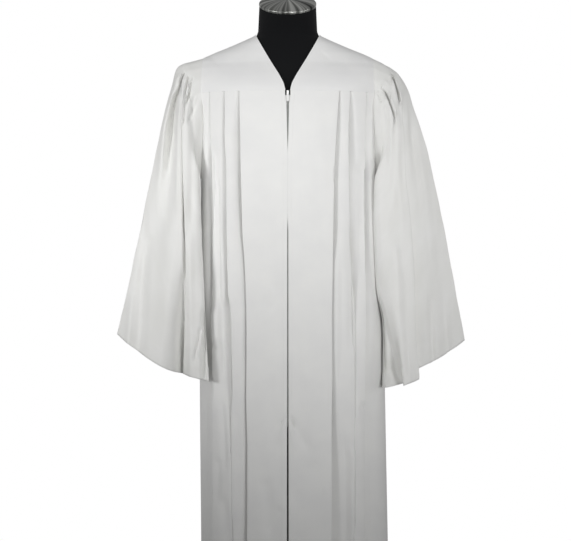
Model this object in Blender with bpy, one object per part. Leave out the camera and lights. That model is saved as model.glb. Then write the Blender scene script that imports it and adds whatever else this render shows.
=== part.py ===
"""A white confirmation robe worn by a black, limbless dress form on a round-base stand.

The robe has a V-necked yoke, two front panels with three knife pleats each, one pleated back
panel, two belled sleeves gathered at the head, and a zip down the centre front.
X is across (the wearer's right is -X), -Y is the front, and Z is up from the floor. The origin is
on the floor, under the stand's pole.
"""

import math

import bpy
import numpy as np

# Cloth and seams, in metres.
CLOTH = 0.0014
SEAM_GAP = 0.0003
CLEARANCE = 0.0003

# Heights of two of the robe's lines above the floor.
ARMPIT_HEIGHT = 1.125
YOKE_SEAM_HEIGHT = 1.310

# The shoulders and the neck opening, each measured from the centre front.
NECK_HALF_WIDTH = 0.0693
SHOULDER_HALF_WIDTH = 0.1865
YOKE_SEAM_HALF_WIDTH = 0.1875
BACK_NECK_DROP = 0.006

# How far the cloth's middle stands off the form: close on the shoulders, freer over the pleats.
SHOULDER_EASE = 0.0026
SIDE_EASE = 0.0014
NECK_EASE = 0.0009
YOKE_HEM_EASE = 0.0075
EASE_FROM_HEIGHT = 1.375
NECK_EASE_HEIGHTS = (1.405, 1.425)

SIDES = {"right": -1, "left": 1}


def table(columns, rows):
    """A table with named columns, each an array down the rows."""
    values = np.array(rows, float)
    return {name: values[:, i] for i, name in enumerate(columns.split())}


# The dress form, from its flat underside to the root of the neck.
FORM = table(
    "height half_width front back roundness",
    [
        (0.800, 0.158, 0.104, 0.118, 2.3),
        (0.900, 0.168, 0.108, 0.126, 2.3),
        (1.000, 0.150, 0.102, 0.102, 2.2),
        (1.060, 0.143, 0.102, 0.094, 2.2),
        (1.160, 0.156, 0.110, 0.102, 2.3),
        (1.250, 0.178, 0.114, 0.112, 2.4),
        (1.310, 0.202, 0.107, 0.112, 2.3),
        (1.340, 0.213, 0.096, 0.105, 2.2),
        (1.360, 0.213, 0.084, 0.094, 2.1),
        (1.376, 0.203, 0.073, 0.084, 2.0),
        (1.390, 0.181, 0.066, 0.077, 2.0),
        (1.414, 0.123, 0.058, 0.069, 2.0),
        (1.430, 0.086, 0.056, 0.064, 2.0),
        (1.4385, 0.0700, 0.056, 0.061, 2.0),
        (1.450, 0.0650, 0.058, 0.058, 2.0),
    ],
)
NECK_TOP_HEIGHT = 1.506
NECK_TOP_RADIUS = 0.0622
NECK_TOP_FORWARD = 0.012
NECK_TOP_TILT = math.radians(26)
FORM_SEGMENTS = 36

# The robe below the yoke seam, before it is pleated. Sway is how far its middle hangs to +X.
BODY = table(
    "height half_width sway front back roundness",
    [
        (0.170, 0.206, 0.017, 0.150, 0.166, 2.35),
        (0.330, 0.205, 0.015, 0.147, 0.161, 2.35),
        (0.680, 0.203, 0.010, 0.139, 0.150, 2.35),
        (0.850, 0.200, 0.008, 0.134, 0.142, 2.35),
        (1.000, 0.197, 0.006, 0.130, 0.135, 2.35),
        (1.125, 0.193, 0.003, 0.126, 0.130, 2.35),
        (1.250, 0.200, 0.001, 0.1235, 0.1235, 2.35),
        (1.310, 0.2087, 0.000, 0.1149, 0.1195, 2.305),
    ],
)

# The neck opening's edge on the front yokes, from the shoulder down to the top of the zip.
NECKLINE = table(
    "height half_width",
    [
        (1.310, 0.0034),
        (1.324, 0.0076),
        (1.339, 0.0150),
        (1.360, 0.0268),
        (1.385, 0.0412),
        (1.412, 0.0562),
        (1.428, 0.0645),
        (1.4388, 0.0693),
    ],
)

# Each pleat's folded edge lies over the cloth outside it. A row gives the edge's distance from the
# centre at five heights, then at three how far the cloth turns there, in degrees, and how long the
# fold behind it is. A turn of 180 is a flat knife pleat, and a smaller one an opened fold.
PLEAT_HEIGHTS = (1.310, 1.080, 0.800, 0.450, 0.170)
TURN_HEIGHTS = (1.310, 0.950, 0.170)
PLEAT_COLUMNS = "x_yoke x_bust x_hip x_knee x_hem turn_top turn_mid turn_low fold_top fold_mid fold_low"
FRONT_PLEATS = {
    "right": table(
        PLEAT_COLUMNS,
        [
            (0.1035, 0.0950, 0.0882, 0.0855, 0.0860, 180, 165, 150, 0.012, 0.013, 0.016),
            (0.1344, 0.1330, 0.1235, 0.1180, 0.1180, 180, 100, 80, 0.011, 0.004, 0.004),
            (0.1660, 0.1665, 0.1665, 0.1620, 0.1590, 180, 110, 120, 0.009, 0.006, 0.012),
        ],
    ),
    "left": table(
        PLEAT_COLUMNS,
        [
            (0.1108, 0.0995, 0.0960, 0.0960, 0.0965, 180, 165, 150, 0.012, 0.013, 0.016),
            (0.1348, 0.1320, 0.1400, 0.1420, 0.1420, 180, 90, 70, 0.010, 0.004, 0.004),
            (0.1700, 0.1675, 0.1670, 0.1670, 0.1690, 180, 110, 110, 0.009, 0.005, 0.009),
        ],
    ),
}
BACK_PLEATS = table(
    PLEAT_COLUMNS,
    [
        (0.0500, 0.0500, 0.0490, 0.0500, 0.0510, 180, 160, 150, 0.012, 0.012, 0.014),
        (0.0880, 0.0880, 0.0870, 0.0880, 0.0900, 180, 150, 140, 0.011, 0.010, 0.012),
        (0.1240, 0.1240, 0.1250, 0.1290, 0.1320, 180, 140, 130, 0.010, 0.009, 0.012),
        (0.1580, 0.1560, 0.1620, 0.1680, 0.1700, 180, 120, 120, 0.009, 0.007, 0.010),
    ],
)
FOLD_RADIUS_TOP = 0.00125
FOLD_RADIUS_LOW = 0.0032
FOLD_RADIUS_HEIGHTS = (1.28, 0.60)
FOLD_STEPS = 3
PLEAT_CLEAR = 0.0012
PLACKET_WIDTH = 0.016
BODY_ROW_HEIGHTS = (1.310, 1.280, 1.240, 1.200, 1.165, 1.140, 1.125, 1.000, 0.810, 0.580, 0.370, 0.170)
PLEAT_CATCH = 0.42
PLEAT_FADE = 0.36
SWAY_FROM = (0.02, 0.16)
ARMHOLE_HOLLOW = 0.006
ARMHOLE_ROUNDNESS = 2.4
YOKE_ROWS = 8
YOKE_COLUMNS = 11
YOKE_ROW_SPREAD = 1.9
SLEEVE_COLUMNS_PER_PANEL_ROW = 3

# Each sleeve as rings. The top line is its outer silhouette from the shoulder seam to the hem, and
# the under line is its underarm seam. The edge is where its front turns in beside the robe.
SLEEVE_COLUMNS = "down top_x top_height under_x under_height front back edge_x edge_front edge_height"
SLEEVES = {
    "right": table(
        SLEEVE_COLUMNS,
        [
            (0.00, 0.1865, 1.3895, 0.1930, 1.125, 0.066, 0.070, 0.1930, 0.064, 1.180),
            (0.06, 0.2270, 1.3780, 0.2040, 1.122, 0.078, 0.080, 0.1930, 0.072, 1.160),
            (0.10, 0.2430, 1.3670, 0.2060, 1.106, 0.085, 0.086, 0.1920, 0.078, 1.143),
            (0.16, 0.2520, 1.3400, 0.2070, 1.076, 0.091, 0.092, 0.1895, 0.083, 1.115),
            (0.28, 0.2660, 1.2880, 0.2080, 1.026, 0.098, 0.098, 0.1840, 0.086, 1.055),
            (0.42, 0.2860, 1.2010, 0.2100, 0.962, 0.103, 0.103, 0.1790, 0.093, 0.985),
            (0.58, 0.3100, 1.0850, 0.2110, 0.886, 0.106, 0.107, 0.1740, 0.100, 0.903),
            (0.78, 0.3410, 0.9350, 0.2120, 0.790, 0.109, 0.110, 0.1690, 0.107, 0.797),
            (1.00, 0.3740, 0.7850, 0.2130, 0.692, 0.112, 0.113, 0.1635, 0.114, 0.686),
        ],
    ),
    "left": table(
        SLEEVE_COLUMNS,
        [
            (0.00, 0.1865, 1.3895, 0.1930, 1.125, 0.066, 0.070, 0.1930, 0.064, 1.180),
            (0.06, 0.2260, 1.3690, 0.2050, 1.122, 0.078, 0.080, 0.1930, 0.072, 1.160),
            (0.12, 0.2490, 1.3480, 0.2070, 1.098, 0.087, 0.088, 0.1910, 0.080, 1.133),
            (0.18, 0.2630, 1.3230, 0.2090, 1.072, 0.093, 0.094, 0.1890, 0.085, 1.105),
            (0.28, 0.2810, 1.2700, 0.2130, 1.026, 0.098, 0.098, 0.1870, 0.091, 1.055),
            (0.42, 0.3080, 1.1850, 0.2180, 0.960, 0.102, 0.103, 0.1890, 0.094, 0.983),
            (0.58, 0.3320, 1.0780, 0.2210, 0.880, 0.104, 0.107, 0.1940, 0.094, 0.897),
            (0.78, 0.3600, 0.9320, 0.2230, 0.780, 0.106, 0.110, 0.2000, 0.093, 0.790),
            (1.00, 0.3880, 0.7800, 0.2240, 0.676, 0.108, 0.113, 0.2050, 0.092, 0.676),
        ],
    ),
}
SLEEVE_ROWS = (0.0, 0.035, 0.07, 0.11, 0.16, 0.23, 0.32, 0.43, 0.56, 0.70, 0.85, 1.0)
SLEEVE_EDGE_AT = 0.405
SLEEVE_EDGE_WIDTH = 0.075
SLEEVE_SQUARENESS = 0.72
SLEEVE_BELLY = 0.009
SLEEVE_BELLY_FROM = 0.3
SLEEVE_JOIN = 0.26
SLEEVE_TO_BODY = 0.0100
SLEEVE_TO_FORM = 0.0040

# Gathers at the sleeve head: every second column of the ring is a ridge, from notch to notch.
GATHER_NOTCH = 0.31
GATHER_HEIGHT = 0.0026
GATHER_FULL_AT = 0.07
GATHER_GONE_AT = 0.30

# Flutes that fall down the sleeves: where each crosses the head and the hem, as x seen from the
# front, its widths on its inner and outer sides, and its depths. Facing is -1 on the back.
FLUTE_COLUMNS = "x_head height_head x_hem height_hem inner outer depth_head depth_hem facing"
FLUTES = {
    "right": table(
        FLUTE_COLUMNS,
        [
            (0.2300, 1.345, 0.3060, 0.800, 0.012, 0.018, 0.008, 0.003, 1),
            (0.2270, 1.250, 0.2240, 0.700, 0.010, 0.016, 0.006, 0.014, 1),
            (0.2600, 1.150, 0.2850, 0.740, 0.022, 0.022, 0.000, 0.006, 1),
            (0.2250, 1.330, 0.2500, 0.720, 0.014, 0.014, 0.007, 0.012, -1),
            (0.2350, 1.250, 0.3100, 0.740, 0.016, 0.016, 0.005, 0.010, -1),
        ],
    ),
    "left": table(
        FLUTE_COLUMNS,
        [
            (0.2180, 1.320, 0.2500, 0.720, 0.011, 0.013, 0.006, 0.000, 1),
            (0.2460, 1.290, 0.2800, 0.700, 0.008, 0.030, 0.004, 0.018, 1),
            (0.2250, 1.330, 0.2600, 0.720, 0.014, 0.014, 0.007, 0.012, -1),
            (0.2350, 1.250, 0.3200, 0.740, 0.016, 0.016, 0.005, 0.010, -1),
        ],
    ),
}

# The zip. Its chain runs from the neck opening to a bottom stop below the hips.
ZIP_BOTTOM = 0.590
ZIP_CHAIN_WIDTH = 0.0042
ZIP_CHAIN_DEPTH = 0.0016
TAPE_WIDTH = 0.0120
TAPE_DEPTH = 0.0010
TAPE_CLEARANCE = 0.0004
FRONT_EDGE = table(
    "height half_gap",
    [
        (0.170, 0.0012),
        (0.570, 0.0010),
        (1.150, 0.0007),
        (1.245, 0.0010),
        (1.284, 0.0024),
        (1.310, 0.0034),
    ],
)
SLIDER_TOP = 1.3100
SLIDER_LENGTH = 0.0100
SLIDER_WIDTH = 0.0052
SLIDER_DEPTH = 0.0034
CROWN_WIDTH = 0.0016
CROWN_WALL = 0.0010
CROWN_INNER_DEPTH = 0.0020
CROWN_INNER_LENGTH = 0.0024
CROWN_SINK = 0.0006
CROWN_SLOPE = 0.0005
SLIDER_BEVEL = 0.0008
PULL_LENGTH = 0.0190
PULL_WIDTH = 0.0048
PULL_THICKNESS = 0.0012
PULL_BAR_RADIUS = 0.0006
PULL_EYE_LENGTH = 0.0046
PULL_EYE_WALL = 0.0011
PULL_EYE_PLAY = 0.0005
PULL_EYE_MARGIN = 0.0004
PULL_SHOULDER = 0.0016
PULL_CORNER = 0.0014
PULL_REST_TILT = math.radians(12.5)

# The stand.
POLE_RADIUS = 0.016
BASE_RADIUS = 0.180
BASE_THICKNESS = 0.010
BASE_EDGE = 0.003
COLLAR_RADIUS = 0.028
COLLAR_HEIGHT = 0.030
CAP_THICKNESS = 0.004
CAP_DOME = 0.010


def smooth_curve(at, keys, values):
    """Values at the given places, on a smooth curve through the rows that never overshoots them."""
    order = np.argsort(keys)
    keys, values = np.asarray(keys, float)[order], np.asarray(values, float)[order]
    step = np.diff(keys)
    rise = np.diff(values) / step
    slope = np.zeros(len(keys))
    slope[0], slope[-1] = rise[0], rise[-1]
    same_way = rise[:-1] * rise[1:] > 0
    weight = np.where(same_way, rise[:-1] * rise[1:], 0.0)
    slope[1:-1] = 2 * weight / np.where(same_way, rise[:-1] + rise[1:], 1.0)
    at = np.clip(at, keys[0], keys[-1])
    i = np.clip(np.searchsorted(keys, at, side="right") - 1, 0, len(step) - 1)
    t = (at - keys[i]) / step[i]
    return (
        (2 * t**3 - 3 * t**2 + 1) * values[i]
        + (t**3 - 2 * t**2 + t) * step[i] * slope[i]
        + (3 * t**2 - 2 * t**3) * values[i + 1]
        + (t**3 - t**2) * step[i] * slope[i + 1]
    )


def column(rows, name, at, key="height"):
    """One column of a table, read on a smooth curve at the given heights."""
    return smooth_curve(at, rows[key], rows[name])


def ramp(value, start, end):
    """0 before start, 1 past end, and a smooth rise between them."""
    t = np.clip((value - start) / (end - start), 0, 1)
    return t * t * (3 - 2 * t)


def unit(vectors):
    return vectors / np.maximum(np.linalg.norm(vectors, axis=-1, keepdims=True), 1e-12)


# The form's shoulders, and the yoke that follows them.


def section_depth(x, width, depth, power):
    """How far a rounded section's edge is from the plane of the shoulders, at x."""
    across = np.clip(np.abs(x) / width, 0, 1) ** power
    return depth * (1 - across) ** (1 / power)


def yoke_section(z, facing):
    """The half width, depth and roundness of the yoke's section at each height."""
    ease = SIDE_EASE + (YOKE_HEM_EASE - SIDE_EASE) * ramp(-z, -EASE_FROM_HEIGHT, -YOKE_SEAM_HEIGHT)
    ease = ease + NECK_EASE * ramp(z, *NECK_EASE_HEIGHTS)
    lifted = z - SHOULDER_EASE
    depth = column(FORM, "front" if facing > 0 else "back", lifted)
    return column(FORM, "half_width", lifted) + ease, depth + ease, column(FORM, "roundness", lifted)


def yoke_point(x, z, facing):
    """A point in the middle of the yoke's cloth."""
    return np.stack([x, -facing * section_depth(x, *yoke_section(z, facing)), z], axis=-1)


def shoulder_height(x):
    """The height of the yoke's shoulder seam, where its front and back meet."""
    heights = np.linspace(1.352, 1.4410, 240)
    return np.interp(-np.abs(x), -yoke_section(heights, 1)[0], heights)


# The robe's body: a rounded tube, with pleats laid on it.

ARC_STEPS = 160


def body_arc(z, facing):
    """Points along half of the unpleated robe at one height, from the centre to the side."""
    angle = np.linspace(0, math.pi / 2, ARC_STEPS)
    power = 2 / float(column(BODY, "roundness", z))
    depth = float(column(BODY, "front" if facing > 0 else "back", z))
    x = float(column(BODY, "half_width", z)) * np.sin(angle) ** power
    y = -facing * depth * np.cos(angle) ** power
    return x, y


def armhole_x(z):
    """How far from the centre the armhole edge of the front and back panels is."""
    half_width = float(column(BODY, "half_width", z))
    t = float(np.clip((YOKE_SEAM_HEIGHT - z) / (YOKE_SEAM_HEIGHT - ARMPIT_HEIGHT), 0, 1))
    corner = YOKE_SEAM_HALF_WIDTH
    hollow = ARMHOLE_HOLLOW * math.sin(math.pi * t) * (1 - t)
    outward = 1 - math.sqrt(1 - t**ARMHOLE_ROUNDNESS)
    return min(half_width, corner + (half_width - corner) * outward - hollow)


def fold_radius(z):
    top, low = FOLD_RADIUS_HEIGHTS
    return FOLD_RADIUS_TOP + (FOLD_RADIUS_LOW - FOLD_RADIUS_TOP) * float(ramp(-z, -top, -low))


def pleat_curve(edge, turn, fold, radius):
    """One pleat, as places along the cloth and depths below it: a turn, a fold, and a turn back."""
    angles = turn * np.arange(FOLD_STEPS + 1) / FOLD_STEPS
    start = edge - radius * math.sin(min(turn, math.pi / 2))
    place = start + radius * np.sin(angles)
    depth = radius * (1 - np.cos(angles))
    back = angles[::-1]
    end_place = place[-1] + fold * math.cos(turn) + radius * (math.sin(turn) - np.sin(back))
    end_depth = depth[-1] + fold * math.sin(turn) + radius * (np.cos(back) - math.cos(turn))
    return np.concatenate([place, end_place]), np.concatenate([depth, end_depth])


def pleats_at(pleats, z):
    """Each pleat's edge, turn and fold at one height."""
    found = []
    for i in range(len(pleats["x_yoke"])):
        row = {name: values[i] for name, values in pleats.items()}
        xs = [row[n] for n in ("x_yoke", "x_bust", "x_hip", "x_knee", "x_hem")]
        turns = [math.radians(row[n]) for n in ("turn_top", "turn_mid", "turn_low")]
        folds = [row[n] for n in ("fold_top", "fold_mid", "fold_low")]
        found.append(
            (
                float(smooth_curve(z, PLEAT_HEIGHTS, xs)),
                float(smooth_curve(z, TURN_HEIGHTS, turns)),
                float(smooth_curve(z, TURN_HEIGHTS, folds)),
            )
        )
    return found


def body_row(side, pleats, z, facing, edge_x):
    """The middle of the pleated cloth at one height, from the centre edge to the side or armhole."""
    x_arc, y_arc = body_arc(z, facing)
    along = np.concatenate([[0], np.cumsum(np.hypot(np.diff(x_arc), np.diff(y_arc)))])
    start = np.interp(edge_x, x_arc, along)
    end = np.interp(armhole_x(z), x_arc, along)
    found = pleats_at(pleats, z)
    edges = [np.interp(x, x_arc, along) for x, turn, fold in found] + [end]

    places, depths = [start], [0.0]
    for i, (x, turn, fold) in enumerate(found):
        place, depth = pleat_curve(edges[i], turn, fold, fold_radius(z))
        if i == 0:
            room = place[0] - start
            places += [start + min(PLACKET_WIDTH, room / 3), start + room * 0.55]
            depths += [0.0, 0.0]
        else:
            approach = max(min(place) - PLEAT_CLEAR, places[-1] + 0.3 * (place[0] - places[-1]))
            middle = (places[-1] + approach) / 2
            depths += [depths[-1] * PLEAT_CATCH, 0.0]
            places += [middle, approach]
        places += list(place)
        depths += list(depth)
        clear = max(place[-1], edges[i]) + PLEAT_CLEAR
        for share in (0.0, 0.22, 0.5, 0.78) if i == len(found) - 1 else (0.0,):
            places.append(clear + (end - clear) * share)
            depths.append(depth[-1] * math.exp(-((share / PLEAT_FADE) ** 2)))
    places, depths = np.array(places + [end]), np.array(depths + [0.0])

    x = np.interp(places, along, x_arc)
    y = np.interp(places, along, y_arc)
    dx = np.interp(places + 0.001, along, x_arc) - np.interp(places - 0.001, along, x_arc)
    dy = np.interp(places + 0.001, along, y_arc) - np.interp(places - 0.001, along, y_arc)
    length = np.maximum(np.hypot(dx, dy), 1e-9)
    x, y = x - facing * dy / length * depths, y + facing * dx / length * depths
    sway = float(column(BODY, "sway", z)) * ramp(places, *SWAY_FROM)
    return np.stack([SIDES[side] * x + sway, y, np.full(len(x), z)], axis=-1)


def panel_heights():
    """The panel rows' heights, with the topmost set just below the yoke seam."""
    return [z - SEAM_GAP / 2 if z == YOKE_SEAM_HEIGHT else z for z in BODY_ROW_HEIGHTS]


def front_yoke_grid(side):
    across = np.linspace(0, 1, YOKE_COLUMNS)
    z_top = shoulder_height(np.array([NECK_HALF_WIDTH]))[0]
    seam = YOKE_SEAM_HEIGHT + SEAM_GAP / 2
    grid = []
    for share in np.linspace(0, 1, YOKE_ROWS) ** YOKE_ROW_SPREAD:
        z_neck = z_top + (seam - z_top) * share
        neck_x = float(column(NECKLINE, "half_width", z_neck))
        edge_x = SHOULDER_HALF_WIDTH + (YOKE_SEAM_HALF_WIDTH - SHOULDER_HALF_WIDTH) * share
        x_top = NECK_HALF_WIDTH + (SHOULDER_HALF_WIDTH - NECK_HALF_WIDTH) * across
        x = neck_x + (edge_x - neck_x) * across
        z_from = shoulder_height(x_top)
        grid.append(yoke_point(x, z_from + (seam - z_from) * share, 1))
    grid = np.array(grid)
    grid[0, :, 1] -= SEAM_GAP / 2
    return grid * np.array([SIDES[side], 1, 1])


def back_yoke_grid():
    half = np.concatenate(
        [
            np.linspace(0, NECK_HALF_WIDTH, 5),
            np.linspace(NECK_HALF_WIDTH, SHOULDER_HALF_WIDTH, 7)[1:],
        ]
    )
    x_top = np.concatenate([-half[:0:-1], half])
    x_seam = x_top * YOKE_SEAM_HALF_WIDTH / SHOULDER_HALF_WIDTH
    z_top = shoulder_height(np.maximum(np.abs(x_top), NECK_HALF_WIDTH))
    z_top = z_top - BACK_NECK_DROP * np.clip(1 - (x_top / NECK_HALF_WIDTH) ** 2, 0, 1)
    seam = YOKE_SEAM_HEIGHT + SEAM_GAP / 2
    grid = []
    for share in np.linspace(0, 1, YOKE_ROWS) ** YOKE_ROW_SPREAD:
        x = x_top + (x_seam - x_top) * share
        grid.append(yoke_point(x, z_top + (seam - z_top) * share, -1))
    grid = np.array(grid)
    grid[0, np.abs(x_top) >= NECK_HALF_WIDTH, 1] += SEAM_GAP / 2
    return grid


def front_panel_grid(side):
    grid = [
        body_row(side, FRONT_PLEATS[side], z, 1, float(column(FRONT_EDGE, "half_gap", z)))
        for z in panel_heights()
    ]
    grid = np.array(grid)
    grid[np.array(BODY_ROW_HEIGHTS) <= ARMPIT_HEIGHT, -1, 1] -= SEAM_GAP / 2
    return grid


def back_panel_grid():
    right, left = (
        np.array([body_row(side, BACK_PLEATS, z, -1, 0.0) for z in panel_heights()])
        for side in SIDES
    )
    grid = np.concatenate([right[:, :0:-1], left], axis=1)
    below = np.array(BODY_ROW_HEIGHTS) <= ARMPIT_HEIGHT
    grid[below, 0, 1] += SEAM_GAP / 2
    grid[below, -1, 1] += SEAM_GAP / 2
    return grid


def armhole_half(yoke, panel, last_column):
    """Half an armhole, from the shoulder seam to the armpit, with points between the panel's rows.

    Gives the points on the cloth's edge, and the cloth's normals there.
    """
    edge = -1 if last_column else 0
    in_armhole = np.array(BODY_ROW_HEIGHTS) >= ARMPIT_HEIGHT
    shares = np.arange(1, SLEEVE_COLUMNS_PER_PANEL_ROW + 1) / SLEEVE_COLUMNS_PER_PANEL_ROW
    yoke_normals = wall_normals(yoke, False, (-1,))[0][:, edge]
    panel_normals = wall_normals(panel, False, (0,))[0][in_armhole, edge]
    line = []
    for on_yoke, on_panel in (
        (yoke[:, edge], panel[in_armhole, edge]),
        (yoke_normals, panel_normals),
    ):
        join = (on_yoke[-1] + on_panel[0]) / 2
        between = [
            a + (b - a) * share for a, b in zip(on_panel[:-1], on_panel[1:]) for share in shares
        ]
        line.append(np.concatenate([on_yoke[:-1], [join], between]))
    return line


def armhole(side):
    """The armhole as a ring from the shoulder seam by the front, and the body's outward normals."""
    last = SIDES[side] > 0
    halves = (
        armhole_half(front_yoke_grid(side), front_panel_grid(side), True),
        armhole_half(back_yoke_grid(), back_panel_grid(), last),
    )
    (front, front_normals), (back, back_normals) = halves
    ring = []
    for f, b in ((front, back), (front_normals, back_normals)):
        if f is front_normals:
            f, b = (n * np.sign(n[:, 0].sum() * SIDES[side]) for n in (f, b))
        ring.append(np.concatenate([[(f[0] + b[0]) / 2], f[1:-1], [(f[-1] + b[-1]) / 2], b[-2:0:-1]]))
    return ring[0], unit(ring[1])


# The sleeves. Around a ring, 0 is the top line, 1/4 the front, 1/2 the underarm, 3/4 the back.


def ring_places(points):
    """Each point's place around the ring: 0 on the top line, 1/2 on the underarm."""
    step = np.linalg.norm(np.roll(points, -1, axis=0) - points, axis=1)
    half = len(points) // 2
    front = np.concatenate([[0], np.cumsum(step[:half])])
    back = np.concatenate([[0], np.cumsum(step[half:])])
    return np.concatenate([front[:-1] / front[-1] / 2, 0.5 + back[:-1] / back[-1] / 2])


def round_ring(size, around, down):
    """The x, y and z of one ring of a sleeve, as a rounded loop from its top to its under line."""
    out, across = np.cos(2 * math.pi * around), np.sin(2 * math.pi * around)
    x = (size["top_x"] + size["under_x"]) / 2 + (size["top_x"] - size["under_x"]) / 2 * out
    z = (size["top_height"] + size["under_height"]) / 2
    z = z + (size["top_height"] - size["under_height"]) / 2 * out
    z = z - SLEEVE_BELLY * float(ramp(down, SLEEVE_BELLY_FROM, 1.0)) * (1 - out**2)
    depth = np.where(across > 0, size["front"], size["back"])
    y = -depth * np.sign(across) * np.abs(across) ** SLEEVE_SQUARENESS
    return np.stack([x, y, z], axis=-1)


def plain_ring(side, around, down):
    """One ring of the sleeve before its flutes, with its front edge drawn in beside the robe."""
    rows = SLEEVES[side]
    size = {name: float(column(rows, name, down, "down")) for name in rows}
    edge = np.array([size["edge_x"], -size["edge_front"], size["edge_height"]])
    drawn_in = edge - round_ring(size, np.array([SLEEVE_EDGE_AT]), down)[0]
    share = np.exp(-(((around - SLEEVE_EDGE_AT) / SLEEVE_EDGE_WIDTH) ** 2))
    share = share * float(ramp(down, 0.02, 0.16))
    ring = round_ring(size, around, down) + drawn_in * share[:, None]
    return ring * np.array([SIDES[side], 1, 1])


def push_out(points, sway, width, front, back, power):
    """Points inside a rounded tube, moved straight out to its surface."""
    x = points[:, 0] - sway
    y = points[:, 1]
    depth = np.where(y < 0, front, back)
    level = (np.abs(x) / width) ** power + (np.abs(y) / depth) ** power
    grow = np.maximum(1, np.maximum(level, 1e-6) ** (-1 / power))
    moved = points.copy()
    moved[:, 0] = sway + x * grow
    moved[:, 1] = y * grow
    return moved


def clear_of_body(points, down):
    """Sleeve points kept off the robe's body and off the form."""
    z = points[:, 2]
    near = ramp(down, 0.0, 0.16)
    off_body = SLEEVE_TO_BODY * near
    below = ramp(z, ARMPIT_HEIGHT + 0.03, ARMPIT_HEIGHT - 0.01)
    body = {name: column(BODY, name, z) for name in BODY}
    shrink = (1 - below) * 0.03
    points = push_out(
        points,
        body["sway"],
        body["half_width"] + off_body - shrink,
        body["front"] + off_body - shrink,
        body["back"] + off_body - shrink,
        body["roundness"],
    )
    form = {name: column(FORM, name, z) for name in FORM}
    off_form = SHOULDER_EASE + (SLEEVE_TO_FORM - SHOULDER_EASE) * ramp(down, 0.0, 0.04)
    return push_out(
        points,
        np.zeros(len(z)),
        form["half_width"] + off_form,
        form["front"] + off_form,
        form["back"] + off_form,
        form["roundness"],
    )


def flute_depth(side, points, normals):
    """How far the flutes press each point of a sleeve inwards."""
    rows = FLUTES[side]
    x, z = np.abs(points[..., 0]), points[..., 2]
    pressed = np.zeros(x.shape)
    for i in range(len(rows["x_head"])):
        flute = {name: values[i] for name, values in rows.items()}
        fall = (flute["height_head"] - z) / (flute["height_head"] - flute["height_hem"])
        share = np.clip(fall, 0, 1)
        at = flute["x_head"] + (flute["x_hem"] - flute["x_head"]) * share
        depth = flute["depth_head"] + (flute["depth_hem"] - flute["depth_head"]) * share
        begins = ramp(z, flute["height_head"] + 0.03, flute["height_head"] - 0.03)
        faces = ramp(-normals[..., 1] * flute["facing"], 0.15, 0.6)
        width = np.where(x > at, flute["outer"], flute["inner"])
        across = np.exp(-(((x - at) / width) ** 2))
        pressed += depth * across * begins * faces
    return pressed


def wall_normals(grid, closed, level_rows=()):
    """Each grid point's unit normal, and how much longer a corner's must be to keep its wall.

    The normals are level along level_rows, where a piece meets another at a level seam.
    """
    if closed:
        ahead, behind = np.roll(grid, -1, axis=1) - grid, grid - np.roll(grid, 1, axis=1)
    else:
        step = np.diff(grid, axis=1)
        ahead = np.concatenate([step, step[:, -1:]], axis=1)
        behind = np.concatenate([step[:, :1], step], axis=1)
    ahead, behind = unit(ahead), unit(behind)
    across = unit(ahead + behind)
    fall = np.diff(grid, axis=0)
    below = np.concatenate([fall, fall[-1:]])
    above = np.concatenate([fall[:1], fall])
    down = unit(unit(below) + unit(above))
    half_turn = np.clip((ahead * across).sum(-1), 0.75, 1)
    normals = unit(np.cross(across, down))
    for row in level_rows:
        normals[row, :, 2] = 0
        normals[row] = unit(normals[row])
    return normals, 1 / half_turn


def off_the_body(hole, body_normals, next_ring, side):
    """The sleeve's first ring, set along its own cloth just far enough off the body's edge."""
    tangent = unit(np.roll(hole, -1, axis=0) - np.roll(hole, 1, axis=0))
    off_edge = unit(np.cross(tangent, body_normals)) * SIDES[side]
    off_edge *= np.sign((off_edge[: len(hole) // 4, 0] * SIDES[side]).sum())
    step = next_ring - hole
    step = unit(step - tangent * (step * tangent).sum(-1, keepdims=True))
    along = (step * off_edge).sum(-1)
    across = np.maximum(np.abs((step * body_normals).sum(-1)), 1e-6)
    half = CLOTH / 2
    past_edge = (SEAM_GAP + half * across) / np.maximum(along, 1e-6)
    past_face = (SEAM_GAP + half - half * along) / across
    return hole + step * np.minimum(past_edge, past_face)[:, None]


def sleeve_grid(side):
    """The middle of the sleeve's cloth, as rings from the armhole to the hem."""
    hole, body_normals = armhole(side)
    around = ring_places(hole)
    join = hole - plain_ring(side, around, 0.0)
    rings = []
    for down in SLEEVE_ROWS:
        ring = plain_ring(side, around, down) + join * (1 - ramp(down, 0.0, SLEEVE_JOIN))
        rings.append(clear_of_body(ring, down) if down > 0 else ring)
    grid = np.array(rings)

    normals = wall_normals(grid, True)[0]
    outward = (normals[1:, :, 0] * (grid[1:, :, 0] - grid[1:].mean(axis=1)[:, None, 0])).sum()
    normals *= 1 if outward > 0 else -1
    grid = grid - normals * flute_depth(side, grid, normals)[..., None]

    down = np.array(SLEEVE_ROWS)
    tall = ramp(down, 0, GATHER_FULL_AT) * (1 - ramp(down, GATHER_FULL_AT, GATHER_GONE_AT))
    from_top = np.minimum(around, 1 - around)
    in_notch = 1 - ramp(from_top, GATHER_NOTCH - 0.06, GATHER_NOTCH)
    wave = np.where(np.arange(len(around)) % 2 == 0, 1.0, -1.0) * in_notch
    grid = grid + normals * (GATHER_HEIGHT * tall[:, None] * wave[None, :])[..., None]
    grid[0] = off_the_body(hole, body_normals, grid[1], side)
    return grid


# Materials and solids.


def material(name, colour, roughness, metallic=0.0):
    made = bpy.data.materials.new(name)
    made.use_nodes = True
    shader = made.node_tree.nodes["Principled BSDF"]
    shader.inputs["Base Color"].default_value = (*colour, 1)
    shader.inputs["Roughness"].default_value = roughness
    shader.inputs["Metallic"].default_value = metallic
    made.diffuse_color = (*colour, 1)
    return made


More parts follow.
